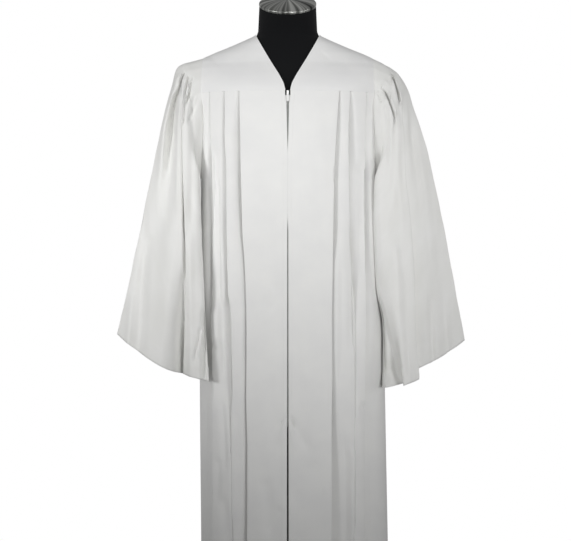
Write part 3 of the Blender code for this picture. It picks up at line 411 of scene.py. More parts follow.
def yoke_section(z, facing):
    """The half width, depth and roundness of the yoke's section at each height."""
    ease = SIDE_EASE + (YOKE_HEM_EASE - SIDE_EASE) * ramp(-z, -EASE_FROM_HEIGHT, -YOKE_SEAM_HEIGHT)
    ease = ease + NECK_EASE * ramp(z, *NECK_EASE_HEIGHTS)
    lifted = z - SHOULDER_EASE
    depth = column(FORM, "front" if facing > 0 else "back", lifted)
    return column(FORM, "half_width", lifted) + ease, depth + ease, column(FORM, "roundness", lifted)


def yoke_point(x, z, facing):
    """Points on the front or the back of the yokes."""
    return np.stack([x, -facing * section_depth(x, *yoke_section(z, facing)), z], axis=-1)


def shoulder_height(x):
    """The height of the shoulder seam, where the front and back yokes meet."""
    return np.interp(-np.abs(x), -yoke_section(SHOULDER_HEIGHTS, 1)[0], SHOULDER_HEIGHTS)


def front_yoke_grid(side):
    """The middle of a front yoke's cloth, from the neckline out and from the shoulder down."""
    across = np.linspace(0, 1, FRONT_YOKE_COLUMNS)
    z_top = shoulder_height(np.array([NECK_HALF_WIDTH]))[0]
    seam = YOKE_SEAM_HEIGHT
    grid = []
    for share in np.linspace(0, 1, FRONT_YOKE_ROWS) ** YOKE_ROW_POWER:
        z_neck = z_top + (seam - z_top) * share
        neck_x = float(column(NECKLINE, "half_width", z_neck))
        edge_x = SHOULDER_HALF_WIDTH + (YOKE_SEAM_HALF_WIDTH - SHOULDER_HALF_WIDTH) * share
        z_from = shoulder_height(NECK_HALF_WIDTH + (SHOULDER_HALF_WIDTH - NECK_HALF_WIDTH) * across)
        grid.append(yoke_point(neck_x + (edge_x - neck_x) * across, z_from + (seam - z_from) * share, 1))
    grid = np.array(grid)
    grid[0, :, 1] -= SEAM_GAP / 2
    return grid * np.array([SIDES[side], 1, 1])


def lengths_along(grid, axis):
    """The cloth's length from the grid's first row or column to each point, averaged across."""
    step = np.linalg.norm(np.diff(grid, axis=axis), axis=-1).mean(axis=1 - axis)
    return np.concatenate([[0], np.cumsum(step)])


def cloth_piece(name, grid, finish_made, closed=False):
    """A cut piece of cloth: a thin shell with its middle on the grid, its UVs in metres of cloth."""
    rows, columns = grid.shape[:2]
    wide = columns if closed else columns - 1
    row, place = (part.reshape(-1, 1) for part in np.mgrid[: rows - 1, :wide])
    corner_rows, corner_columns = row + [0, 1, 1, 0], place + [0, 0, 1, 1]
    faces = corner_rows * columns + corner_columns % columns
    made = mesh_piece(name, grid.reshape(-1, 3), faces.tolist())
    across, down = lengths_along(grid, 1), lengths_along(grid, 0)
    if closed:
        across = np.append(across, across[-1] + across[1])
    uvs = np.stack([across[corner_columns], down[corner_rows]], axis=-1)
    made.data.uv_layers.new(name="cloth").data.foreach_set("uv", uvs.ravel().astype(np.float32))
    # The rim of the shell is shaded apart from its faces, so that no dark line runs along an edge.
    edge_of = np.empty(len(made.data.loops), int)
    made.data.loops.foreach_get("edge_index", edge_of)
    cut_edge = np.bincount(edge_of, minlength=len(made.data.edges)) == 1
    made.data.attributes.new("sharp_edge", "BOOLEAN", "EDGE").data.foreach_set("value", cut_edge)
    shell = made.modifiers.new("thickness of the cloth", "SOLIDIFY")
    shell.thickness = CLOTH
    shell.offset = 0
    wear(made, finish_made)
    return made


def white_polyester(name, light, shade):
    """Plain-woven polyester: matte white with a faint sheen, its threads too fine to count."""
    sheen = {"Sheen_Weight": 0.10, "Sheen_Roughness": 0.45, "Sheen_Tint": linear("#FFFFFF")}
    made, tree = finish(name, Roughness=0.62, Specular_IOR_Level=0.35, **sheen)
    place = node(tree, "UVMap", uv_map="cloth").outputs["UV"]
    # The real threads are about 0.3 mm apart. They are drawn at 1.2 mm, so that close views show them.
    thread_mm = 1.2
    parts = node(tree, "SeparateXYZ", {"Vector": place}).outputs
    waves = []
    for axis in ("X", "Y"):
        turned = node(tree, "Math", {0: parts[axis], 1: 2000 * math.pi / thread_mm}, operation="MULTIPLY")
        waves.append(node(tree, "Math", {0: turned.outputs[0]}, operation="SINE").outputs[0])
    weave = node(tree, "Math", {0: waves[0], 1: waves[1]}, operation="MULTIPLY").outputs[0]
    slub = node(tree, "TexNoise", {"Vector": place, "Scale": 420.0, "Detail": 4.0, "Roughness": 0.65})
    threads = node(tree, "Math", {0: weave, 1: 0.35, 2: slub.outputs["Fac"]}, operation="MULTIPLY_ADD")
    mottle = node(tree, "TexNoise", {"Vector": place, "Scale": 14.0, "Detail": 3.0, "Roughness": 0.5})
    raised = {"relief": threads.outputs[0], "strength": 0.22, "height": 0.00025}
    return patterned(made, mottle.outputs["Fac"], (shade, light), stops=(0.30, 0.70), **raised)


def hem_edge(grid, edge_column, height, width):
    """A turned and faced edge, raised a little over the cloth beside it."""
    from_edge = np.linalg.norm(grid - grid[:, edge_column][:, None], axis=-1)
    return height * np.exp(-((from_edge / width) ** 2))


def hemmed(grid, rows, closed=False):
    """A grid with its last rows turned up inside, and raised by the second thickness of cloth."""
    out = outward(grid, closed)
    grid = grid.copy()
    grid[-rows:] += out[-rows:] * HEM_RAISED
    return np.concatenate([grid, (grid[-rows:] - out[-rows:] * HEM_PLY)[::-1]])


def white_thread():
    """Polyester sewing thread: white, a little glossier than the cloth, its twist a fine ripple."""
    made, tree = finish("white_polyester_thread", Roughness=0.5, Sheen_Weight=0.15)
    place = node(tree, "TexCoord").outputs["Object"]
    # The real twist is about 0.4 mm long. It is drawn at 0.8 mm.
    twist_mm = 0.8
    twist = node(tree, "TexNoise", {"Vector": place, "Scale": 1000 / twist_mm, "Detail": 1.0}).outputs["Fac"]
    return patterned(made, twist, ("#E6E6E3", "#F6F6F4"), relief=twist, strength=0.3, height=0.0001)


thread = white_thread()


def lengths(path):
    """How far along a line of points each one is."""
    return np.concatenate([[0], np.cumsum(np.linalg.norm(np.diff(path, axis=0), axis=1))])


def points_at(at, along, path):
    """Points of a path, or directions that go with it, at places along it."""
    return np.stack([np.interp(at, along, path[:, i]) for i in range(3)], axis=-1)


def sew(name, path, facing):
    """A row of lockstitches along a line of points on the cloth, each a small spindle of thread."""
    path = path + facing * (CLOTH / 2)
    along = lengths(path)

    def spot(at):
        return points_at(at, along, path)

    middle = (np.arange(int(along[-1] / STITCH_PITCH)) + 0.5) * STITCH_PITCH
    up = unit(points_at(middle, along, facing))
    forward = unit(spot(middle + STITCH_PROBE) - spot(middle - STITCH_PROBE))
    sideways = unit(np.cross(forward, up)) * STITCH_WIDTH / 2
    rings = [(spot(middle - STITCH_LENGTH / 2) - up * STITCH_SUNK)[:, None]]
    for share in (-0.25, 0.25):
        at = spot(middle + share * STITCH_LENGTH)
        high, low = at + up * STITCH_WIDTH * 0.6, at - up * STITCH_WIDTH * 0.4
        rings.append(np.stack([at + sideways, high, at - sideways, low], axis=1))
    rings.append((spot(middle + STITCH_LENGTH / 2) - up * STITCH_SUNK)[:, None])
    points = np.concatenate(rings, axis=1)
    spindle = []
    for k in range(4):
        n = (k + 1) % 4
        spindle += [(0, 1 + n, 1 + k), (1 + k, 1 + n, 5 + n, 5 + k), (5 + k, 5 + n, 9)]
    faces = [tuple(i * 10 + corner for corner in face) for i in range(len(points)) for face in spindle]
    wear(mesh_piece(name, points.reshape(-1, 3), faces), thread)


# One cloth in three copies. The yoke's is painted a little darker, and the sleeves' a little lighter and
# warmer, than the body's: painted shade and light, for how light falls on each piece.
body_cloth = white_polyester("white_polyester_body", "#F3F3F1", "#EEEEED")
yoke_cloth = white_polyester("white_polyester_yoke", "#F2F2F1", "#ECECEC")
front_yokes = {}
for side in SIDES:
    grid = front_yoke_grid(side)
    normals = outward(grid)
    level = ramp(-grid[..., 2], -YOKE_SEAM_HEIGHT - YOKE_SEAM_CALM, -YOKE_SEAM_HEIGHT)
    inner = 1 - ramp(grid[..., 2], *NECK_FADE_HEIGHTS) * NECK_FADE
    pressed = pressed_by(YOKE_CREASES, grid, 1.0) * (1 - level) * inner
    raised = hem_edge(grid, 0, *NECK_HEM) - pressed
    raised[0] = 0
    grid = grid + normals * raised[..., None]
    front_yokes[side] = grid
    piece = cloth_piece(f"yoke_front_{side}", grid, yoke_cloth)
    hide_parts(f"front_yoke_{side}")
    sew(f"stitches_neck_{side}", grid[2:-2, NECK_STITCH_COLUMN], outward(grid)[2:-2, NECK_STITCH_COLUMN])

# The back yoke. One piece across both shoulders, joined to the front yokes along the shoulder
# seams and cut in a shallow curve behind the neck.
BACK_NECK_DROP = 0.006
BACK_YOKE_ROWS = 48
NECK_COLUMNS = 40
SHOULDER_COLUMNS = 61
BACK_YOKE_CREASES = creases(
    (-0.165, 1.378, -0.08, 1.345, 0.003, 0.01, 0.014, 0.0009, 0.0006),
    (0.16, 1.38, 0.09, 1.338, -0.003, 0.009, 0.015, 0.001, 0.0005),
    (-0.03, 1.418, 0.045, 1.412, 0.004, 0.007, 0.008, 0.0007, 0.0006),
    (0.06, 1.395, 0.02, 1.335, 0.003, 0.012, 0.018, 0.0006, 0.0005),
)


def back_yoke_grid():
    """The middle of the back yoke's cloth, from armhole to armhole and from the top seam down."""
    neck = np.linspace(0, NECK_HALF_WIDTH, NECK_COLUMNS)
    shoulder = np.linspace(NECK_HALF_WIDTH, SHOULDER_HALF_WIDTH, SHOULDER_COLUMNS)[1:]
    half = np.concatenate([neck, shoulder])
    x_top = np.concatenate([-half[:0:-1], half])
    z_top = shoulder_height(np.maximum(np.abs(x_top), NECK_HALF_WIDTH))
    z_top = z_top - BACK_NECK_DROP * np.clip(1 - (x_top / NECK_HALF_WIDTH) ** 2, 0, 1)
    seam = YOKE_SEAM_HEIGHT
    x_seam = x_top * YOKE_SEAM_HALF_WIDTH / SHOULDER_HALF_WIDTH
    grid = []
    for share in np.linspace(0, 1, BACK_YOKE_ROWS) ** YOKE_ROW_POWER:
        grid.append(yoke_point(x_top + (x_seam - x_top) * share, z_top + (seam - z_top) * share, -1))
    grid = np.array(grid)
    grid[0, np.abs(x_top) >= NECK_HALF_WIDTH, 1] += SEAM_GAP / 2
    return grid


back_yoke = back_yoke_grid()
level = ramp(-back_yoke[..., 2], -YOKE_SEAM_HEIGHT - YOKE_SEAM_CALM, -YOKE_SEAM_HEIGHT)
raised = -pressed_by(BACK_YOKE_CREASES, back_yoke, 1.0) * (1 - level)
raised[0] = 0
back_yoke = back_yoke + outward(back_yoke) * raised[..., None]
piece = cloth_piece("yoke_back", back_yoke, yoke_cloth)
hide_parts("back_yoke")

# The front panels. Each hangs from its yoke in three knife pleats that turn away from the centre,
# pressed sharp at the seam and opening towards the hem. The centre edges are turned in at the zip.
BODY = table(
    "height half_width sway front back roundness",
    (0.17, 0.206, 0.017, 0.15, 0.166, 2.35), (0.33, 0.205, 0.015, 0.147, 0.161, 2.35),
    (0.68, 0.203, 0.01, 0.139, 0.15, 2.35), (0.85, 0.2, 0.008, 0.134, 0.142, 2.35),
    (1, 0.197, 0.006, 0.13, 0.135, 2.35), (1.125, 0.193, 0.003, 0.126, 0.13, 2.35),
    (1.25, 0.2, 0.001, 0.1235, 0.1235, 2.35), (1.31, 0.2087, 0, 0.1149, 0.1195, 2.305),
)


def pleat(*rows):
    """One pleat's place, turn in degrees, fold and reach, at the heights in its rows."""
    return table("height x turn fold reach", *rows)


FRONT_PLEATS = {
    "right": [
        pleat(
            (1.31, 0.1035, 172, 0.012, 0.003), (1.29, 0.1033, 150, 0.012, 0.0045),
            (1.26, 0.1028, 136, 0.014, 0.007), (1.2, 0.1018, 122, 0.021, 0.0105),
            (1.08, 0.0985, 118, 0.024, 0.012), (1.008, 0.0965, 130, 0.019, 0.012),
            (0.946, 0.0925, 152, 0.013, 0.006), (0.8, 0.0884, 160, 0.012, 0.006),
            (0.64, 0.0884, 156, 0.013, 0.009), (0.533, 0.0862, 148, 0.015, 0.012),
            (0.4, 0.0865, 138, 0.016, 0.015), (0.355, 0.0865, 124, 0.019, 0.017),
            (0.17, 0.086, 128, 0.019, 0.02),
        ),
        pleat(
            (1.31, 0.1355, 172, 0.011, 0.003), (1.29, 0.1355, 145, 0.013, 0.0055),
            (1.26, 0.1352, 130, 0.017, 0.0075), (1.2, 0.135, 120, 0.021, 0.0085),
            (1.017, 0.1338, 112, 0.026, 0.0095), (0.891, 0.1285, 112, 0.026, 0.011),
            (0.797, 0.1252, 110, 0.024, 0.016), (0.7, 0.1235, 100, 0.014, 0.016),
            (0.6, 0.1215, 70, 0.006, 0.012), (0.5, 0.12, 30, 0.003, 0.01),
            (0.17, 0.119, 20, 0.003, 0.01),
        ),
        pleat(
            (1.31, 0.1675, 172, 0.009, 0.003), (1.29, 0.1675, 150, 0.011, 0.0045),
            (1.26, 0.1672, 125, 0.012, 0.006), (1.2, 0.1672, 112, 0.012, 0.008),
            (1.12, 0.1665, 95, 0.01, 0.01), (1.02, 0.166, 60, 0.007, 0.012),
            (0.85, 0.166, 50, 0.006, 0.014), (0.72, 0.164, 90, 0.016, 0.03),
            (0.66, 0.164, 105, 0.026, 0.06), (0.45, 0.165, 105, 0.03, 0.08),
            (0.17, 0.165, 105, 0.034, 0.09),
        ),
    ],
    "left": [
        pleat(
            (1.31, 0.1104, 172, 0.012, 0.003), (1.29, 0.109, 150, 0.012, 0.004),
            (1.26, 0.1068, 136, 0.014, 0.006), (1.159, 0.101, 128, 0.017, 0.009),
            (1.01, 0.0976, 130, 0.017, 0.009), (0.93, 0.0965, 156, 0.012, 0.005),
            (0.797, 0.0952, 164, 0.012, 0.005), (0.68, 0.0952, 154, 0.013, 0.008),
            (0.55, 0.0952, 142, 0.016, 0.016), (0.44, 0.0952, 132, 0.018, 0.026),
            (0.34, 0.0955, 122, 0.02, 0.034), (0.17, 0.096, 122, 0.02, 0.036),
        ),
        pleat(
            (1.31, 0.134, 172, 0.01, 0.003), (1.29, 0.133, 145, 0.013, 0.006),
            (1.26, 0.1315, 125, 0.019, 0.009), (1.2, 0.13, 115, 0.023, 0.01),
            (1.1, 0.1312, 110, 0.024, 0.011), (1, 0.134, 100, 0.021, 0.011),
            (0.923, 0.139, 82, 0.014, 0.012), (0.8, 0.142, 45, 0.006, 0.012),
            (0.45, 0.142, 25, 0.003, 0.012), (0.17, 0.142, 25, 0.003, 0.012),
        ),
        pleat(
            (1.31, 0.17, 172, 0.009, 0.003), (1.29, 0.169, 145, 0.013, 0.0055),
            (1.26, 0.1675, 125, 0.017, 0.008), (1.2, 0.166, 115, 0.018, 0.0085),
            (1.1, 0.1658, 105, 0.016, 0.01), (0.95, 0.166, 95, 0.014, 0.012),
            (0.8, 0.166, 92, 0.014, 0.016), (0.64, 0.1665, 98, 0.02, 0.04),
            (0.45, 0.167, 105, 0.024, 0.06), (0.17, 0.168, 105, 0.028, 0.07),
        ),
    ],
}
FOLD_RADIUS_TOP = 0.0006
FOLD_RADIUS_LOW = 0.0015
FOLD_STEPS = 6
PLEAT_CLEAR = 0.0012
FRONT_EDGE = table(
    "height half_gap",
    (0.17, 0.0022), (0.57, 0.0018), (0.8, 0.0014), (1.005, 0.0012), (1.045, 0.0001), (1.175, 0.0001),
    (1.205, 0.001), (1.24, 0.0019), (1.28, 0.0028), (1.288, 0.0042), (1.298, 0.0054), (1.31, 0.0058),
)
ZIP_BOTTOM = 0.590
HEM_HEIGHT = 0.170
HEM_ROWS = 9
ZIP_STITCH_COLUMN = 4
ARC_STEPS = 400
ARMHOLE_HOLLOW = 0.006
ARMHOLE_ROUND = 2.4
# The robe hangs a little to one side. This sets in from the centre, over these distances.
SWAY_OVER = (0.02, 0.16)
PLEAT_SWAY_OVER = (0.02, 0.15)
SLOPE_STEP = 0.002
CENTRE_CROWDING = 1.25
RECOVERY_POWER = 1.4
# The heights between which the pleats open, the seam draws in and the ridge beside the zip grows.
PLEATS_OPEN = (1.28, 0.60)
TUCK = (YOKE_SEAM_HEIGHT - 0.006, YOKE_SEAM_HEIGHT - 0.001)
RIDGE_GROWS = (1.25, 0.55)
EDGE_CALM = 0.8
EDGE_CALM_WIDTH = 0.012
UNEVEN_FRONT = 0.0006
ZIP_RIDGE = (0.0010, 0.008, 0.007)
SEAM_CALM = 0.05
CALM_COLUMNS = 8
NEAR_SEAM = np.linspace(YOKE_SEAM_HEIGHT - SEAM_GAP, 1.26, 24)[:-1]
BODY_ROWS = np.concatenate([NEAR_SEAM, np.linspace(1.26, HEM_HEIGHT, 190)])
# Columns of cloth from the centre edge to the first pleat, from one to the next, and past the last.
FLAT_COLUMNS = (30, 15, 17)
FRONT_CREASES = creases(
    (-0.186, 0.66, -0.185, 0.2, 0.001, 0.012, 0.014, 0.006, 0.007),
    (-0.158, 1.19, -0.154, 0.84, 0, 0.02, 0.018, 0.0065, 0.007),
    (-0.156, 1.12, -0.15, 0.9, 0.002, 0.006, 0.006, 0.003, 0.005),
    (-0.176, 1.19, -0.178, 0.86, 0, 0.01, 0.01, -0.0045, -0.0045),
    (-0.136, 0.86, -0.144, 0.64, 0.002, 0.012, 0.02, 0.008, 0.01),
    (-0.148, 0.9, -0.144, 0.7, 0, 0.006, 0.007, 0.004, 0.003),
    (-0.137, 0.77, -0.16, 0.752, 0, 0.009, 0.014, 0.0035, 0.003),
    (-0.135, 0.76, -0.142, 0.7, 0, 0.007, 0.008, 0.004, 0.002),
    (-0.142, 0.64, -0.136, 0.5, 0.002, 0.006, 0.007, 0.0035, 0.005),
    (-0.15, 0.52, -0.156, 0.42, 0.002, 0.007, 0.008, 0.003, 0.003),
    (-0.108, 0.62, -0.106, 0.42, 0.002, 0.006, 0.007, 0.002, 0.003),
    (-0.14, 0.44, -0.12, 0.25, 0.002, 0.01, 0.012, 0.003, 0.004),
    (-0.024, 0.895, -0.048, 0.79, 0.004, 0.012, 0.017, 0.0026, 0.0014),
    (-0.06, 0.86, -0.03, 0.84, 0.002, 0.013, 0.015, 0.0012, 0.0016),
    (-0.004, 0.614, -0.022, 0.59, 0, 0.003, 0.006, 0.004, 0.002),
    (-0.006, 0.604, -0.017, 0.56, 0.001, 0.004, 0.008, -0.0036, -0.0012),
    (-0.05, 0.48, -0.028, 0.33, 0.003, 0.014, 0.018, 0.0026, 0.0026),
    (-0.015, 0.42, -0.045, 0.37, 0, 0.01, 0.012, 0.003, 0.002),
    (0.004, 0.612, 0.034, 0.55, 0.003, 0.005, 0.011, 0.0046, 0.0024, 0.2),
    (0.003, 0.592, 0.02, 0.545, 0, 0.004, 0.009, -0.004, -0.0014),
    (0.008, 0.58, 0.06, 0.535, -0.002, 0.009, 0.014, 0.002, 0.0018),
    (0.05, 1.07, 0.078, 1.02, 0.002, 0.013, 0.016, 0.0016, 0.0012),
    (0.055, 0.52, 0.02, 0.43, -0.004, 0.015, 0.022, 0.002, 0.0016),
    (0.082, 0.47, 0.078, 0.4, 0, 0.005, 0.006, -0.002, -0.002),
    (0.131, 1.02, 0.137, 0.76, 0.001, 0.009, 0.008, 0.001, 0.0045),
    (0.115, 0.93, 0.112, 0.64, 0.001, 0.006, 0.008, 0.002, 0.003),
    (0.124, 0.56, 0.123, 0.3, 0.001, 0.007, 0.009, 0.005, 0.006),
    (0.156, 0.636, 0.168, 0.63, 0, 0.006, 0.008, 0.0036, 0.003),
    (0.132, 0.545, 0.15, 0.48, 0.002, 0.009, 0.011, -0.003, -0.002),
    (0.179, 1.18, 0.18, 0.74, 0, 0.01, 0.012, -0.007, -0.006),
    (0.154, 1.15, 0.154, 0.9, 0, 0.012, 0.012, 0.006, 0.004),
    (0.17, 0.62, 0.178, 0.33, 0.001, 0.009, 0.011, 0.003, 0.005),
)


def body_arc(z, facing):
    """Points along half of the unpleated robe at one height, from the centre to the side."""
    angle = np.linspace(0, math.pi / 2, ARC_STEPS)
    power = 2 / float(column(BODY, "roundness", z))
    depth = float(column(BODY, "front" if facing > 0 else "back", z))
    x = float(column(BODY, "half_width", z)) * np.sin(angle) ** power
    return x, -facing * depth * np.cos(angle) ** power


def armhole_x(z):
    """How far from the centre the armhole edge of the front and back panels is."""
    half_width = float(column(BODY, "half_width", z))
    t = float(np.clip((YOKE_SEAM_HEIGHT - z) / (YOKE_SEAM_HEIGHT - ARMPIT_HEIGHT), 0, 1))
    hollow = ARMHOLE_HOLLOW * math.sin(math.pi * t) * (1 - t)
    out = 1 - math.sqrt(1 - t**ARMHOLE_ROUND)
    return min(half_width, YOKE_SEAM_HALF_WIDTH + (half_width - YOKE_SEAM_HALF_WIDTH) * out - hollow)


def fold_radius(z):
    """How tightly a pleat is pressed at a height."""
    opened = float(ramp(-z, -PLEATS_OPEN[0], -PLEATS_OPEN[1]))
    return FOLD_RADIUS_TOP + (FOLD_RADIUS_LOW - FOLD_RADIUS_TOP) * opened


def pleat_curve(edge, turn, fold, radius):
    """One pleat, as places along the cloth and depths below it: a turn, a fold, and a turn back."""
    angles = turn * np.arange(FOLD_STEPS + 1) / FOLD_STEPS
    start = edge - radius * math.sin(min(turn, math.pi / 2))
    place = start + radius * np.sin(angles)
    depth = radius * (1 - np.cos(angles))
    shares = np.array([0.33, 0.67])
    flat_place = place[-1] + fold * shares * math.cos(turn)
    flat_depth = depth[-1] + fold * shares * math.sin(turn)
    back = angles[::-1]
    end_place = place[-1] + fold * math.cos(turn) + radius * (math.sin(turn) - np.sin(back))
    end_depth = depth[-1] + fold * math.sin(turn) + radius * (np.cos(back) - math.cos(turn))
    return np.concatenate([place, flat_place, end_place]), np.concatenate([depth, flat_depth, end_depth])


def pleats_at(pleats, z):
    """Each pleat's edge, turn, fold and reach at one height."""
    found = []
    for rows in pleats:
        x, turn, fold, reach = (float(column(rows, name, z)) for name in ("x", "turn", "fold", "reach"))
        found.append((x, math.radians(turn), fold, reach))
    return found


def recovery(past_edge, depth, reach):
    """How the layer under a pleat comes forward again, over its reach past the pleat's edge."""
    return depth * np.exp(-np.clip(past_edge / reach, 0, None) ** RECOVERY_POWER)


def body_row(side, pleats, z, facing, edge_x):
    """The middle of the pleated cloth at one height, from the centre edge to the side or armhole."""
    x_arc, y_arc = body_arc(z, facing)
    along = np.concatenate([[0], np.cumsum(np.hypot(np.diff(x_arc), np.diff(y_arc)))])
    start = np.interp(edge_x, x_arc, along)
    end = np.interp(armhole_x(z), x_arc, along)
    sway = float(column(BODY, "sway", z))
    found = pleats_at(pleats, z)
    places, depths = [], []
    for i, (x, turn, fold, reach) in enumerate(found):
        edge = np.interp(x - SIDES[side] * sway * float(ramp(x, *PLEAT_SWAY_OVER)), x_arc, along)
        place, depth = pleat_curve(edge, turn, fold, fold_radius(z))
        if i == 0:
            share = np.linspace(0, 1, FLAT_COLUMNS[0])[:-1] ** CENTRE_CROWDING
            places.append(start + (place[0] - start) * share)
            depths.append(np.zeros(len(share)))
        else:
            share = np.linspace(0, 1, FLAT_COLUMNS[1])[:-1]
            places.append(clear + (place[0] - clear) * share)
            depths.append(recovery(places[-1] - last_edge, depths[-1][-1], last_reach) * (1 - share**4))
        places.append(place)
        depths.append(depth)
        clear = max(place[-1], edge) + PLEAT_CLEAR
        last_edge, last_reach = edge, reach
    share = np.linspace(0, 1, FLAT_COLUMNS[2])
    places.append(clear + (end - clear) * share)
    depths.append(recovery(places[-1] - last_edge, depths[-1][-1], last_reach) * (1 - share**4))
    places, depths = np.concatenate(places), np.concatenate(depths)
    x = np.interp(places, along, x_arc)
    y = np.interp(places, along, y_arc)
    ahead, behind = places + SLOPE_STEP, places - SLOPE_STEP
    dx, dy = (np.interp(ahead, along, line) - np.interp(behind, along, line) for line in (x_arc, y_arc))
    length = np.maximum(np.hypot(dx, dy), 1e-9)
    x, y = x - facing * dy / length * depths, y + facing * dx / length * depths
    return np.stack([SIDES[side] * x + sway * ramp(places, *SWAY_OVER), y, np.full(len(x), z)], axis=-1)


def tucked(grid):
    """The panel's top edge, drawn in a little where it is sewn to the yoke."""
    inward = SEAM_DIP * ramp(grid[..., 2], *TUCK)
    return grid - outward(grid) * inward[..., None]


def seam_calm(z):
    """0 at the yoke seam and 1 below it, so that creases leave the seam straight."""
    return 1 - ramp(z, YOKE_SEAM_HEIGHT - SEAM_CALM, YOKE_SEAM_HEIGHT)


front_panels = {}
for side in SIDES:
    grid = []
    for z in BODY_ROWS:
        grid.append(body_row(side, FRONT_PLEATS[side], z, 1, float(column(FRONT_EDGE, "half_gap", z))))
    grid = np.array(grid)
    grid[BODY_ROWS <= ARMPIT_HEIGHT, -1, 1] -= SEAM_GAP / 2
    normals = outward(grid)
    z = grid[..., 2]
    edge = ramp(-np.abs(grid[..., 0]), -EDGE_CALM_WIDTH, 0.0)
    wide = grid.shape[1]
    sides = 1 - ramp(np.arange(wide), wide - CALM_COLUMNS, wide - 1)
    raised = (uneven(grid, UNEVEN_FRONT) - pressed_by(FRONT_CREASES, grid, 1.0)) * sides
    raised = raised * seam_calm(z) * (1 - EDGE_CALM * edge)
    # The turned edge beside the zip stands up in a soft ridge, at a distance from the centre.
    high, off, wide = ZIP_RIDGE
    ridge = high * np.exp(-(((np.abs(grid[..., 0]) - off) / wide) ** 2))
    raised += ridge * ramp(-z, -RIDGE_GROWS[0], -RIDGE_GROWS[1])
    grid = tucked(grid + normals * raised[..., None])
    front_panels[side] = grid
    piece = cloth_piece(f"panel_front_{side}", hemmed(grid, HEM_ROWS), body_cloth)
    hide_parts(f"front_panel_{side}")
    normals = outward(grid)
    sew(f"stitches_hem_front_{side}", grid[-HEM_ROWS], normals[-HEM_ROWS])
    beside_zip = BODY_ROWS > ZIP_BOTTOM
    seam = (beside_zip, ZIP_STITCH_COLUMN)
    sew(f"stitches_zip_{side}", grid[seam], normals[seam])

# The back panel. One width of cloth from side seam to side seam, in knife pleats that turn away
# from the centre back under the back yoke, and that fall open to the hem.
BACK_PLEATS = [
    pleat(
        (1.31, 0.05, 178, 0.012, 0.005), (1.24, 0.05, 166, 0.012, 0.009),
        (1.08, 0.05, 160, 0.012, 0.012), (0.8, 0.049, 158, 0.012, 0.012),
        (0.45, 0.05, 152, 0.013, 0.016), (0.17, 0.051, 150, 0.014, 0.018),
    ),
    pleat(
        (1.31, 0.088, 178, 0.011, 0.005), (1.24, 0.088, 164, 0.011, 0.008),
        (1.08, 0.088, 158, 0.011, 0.011), (0.8, 0.087, 150, 0.01, 0.013),
        (0.45, 0.088, 145, 0.011, 0.015), (0.17, 0.09, 142, 0.012, 0.018),
    ),
    pleat(
        (1.31, 0.124, 178, 0.01, 0.005), (1.24, 0.124, 162, 0.01, 0.008),
        (1.08, 0.124, 150, 0.01, 0.011), (0.8, 0.125, 140, 0.009, 0.013),
        (0.45, 0.129, 135, 0.01, 0.016), (0.17, 0.132, 132, 0.012, 0.018),
    ),
    pleat(
        (1.31, 0.158, 178, 0.009, 0.006), (1.24, 0.1575, 150, 0.009, 0.009),
        (1.08, 0.156, 130, 0.008, 0.012), (0.8, 0.162, 115, 0.007, 0.014),
        (0.45, 0.168, 115, 0.009, 0.02), (0.17, 0.17, 118, 0.01, 0.022),
    ),
]
BACK_CREASES = creases(
    (0.02, 1.24, 0.01, 0.9, 0.004, 0.014, 0.022, 0.0016, 0.0012),
    (-0.022, 0.98, -0.014, 0.42, -0.004, 0.016, 0.02, 0.0018, 0.0016),
    (0.068, 1.05, 0.072, 0.56, 0.003, 0.01, 0.013, 0.002, 0.0016),
    (-0.07, 0.86, -0.066, 0.3, 0.003, 0.01, 0.014, 0.0018, 0.002),
    (-0.105, 1.18, -0.11, 0.7, -0.002, 0.008, 0.012, 0.002, 0.0014),
    (0.108, 0.78, 0.112, 0.26, 0.002, 0.009, 0.013, 0.0018, 0.0018),
    (-0.04, 0.64, 0.03, 0.6, 0.004, 0.01, 0.014, 0.0016, 0.001),
    (0.15, 0.93, 0.12, 0.9, 0.002, 0.008, 0.01, 0.0018, 0.001),
)
# Under the armholes the back takes every second of the front's rows.
THINNED_UNDER = 0.03
under_arm = BODY_ROWS < ARMPIT_HEIGHT - THINNED_UNDER
BACK_ROWS = np.concatenate([BODY_ROWS[~under_arm], BODY_ROWS[under_arm][::-2][::-1]])
BACK_HEM_ROWS = 5
UNEVEN_BACK = 0.0007
halves = [np.array([body_row(side, BACK_PLEATS, z, -1, 0.0) for z in BACK_ROWS]) for side in SIDES]
back_panel = np.concatenate([halves[0][:, :0:-1], halves[1]], axis=1)
below = BACK_ROWS <= ARMPIT_HEIGHT
back_panel[below, 0, 1] += SEAM_GAP / 2
back_panel[below, -1, 1] += SEAM_GAP / 2
columns = back_panel.shape[1]
from_side = np.minimum(np.arange(columns), columns - 1 - np.arange(columns))
raised = uneven(back_panel, UNEVEN_BACK) - pressed_by(BACK_CREASES, back_panel, 1.0)
raised = raised * ramp(from_side, 0, CALM_COLUMNS)
back_panel = back_panel + outward(back_panel) * (raised * seam_calm(back_panel[..., 2]))[..., None]
back_panel = tucked(back_panel)
piece = cloth_piece("panel_back", hemmed(back_panel, BACK_HEM_ROWS), body_cloth)
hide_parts("back_panel")
sew("stitches_hem_back", back_panel[-BACK_HEM_ROWS], outward(back_panel)[-BACK_HEM_ROWS])

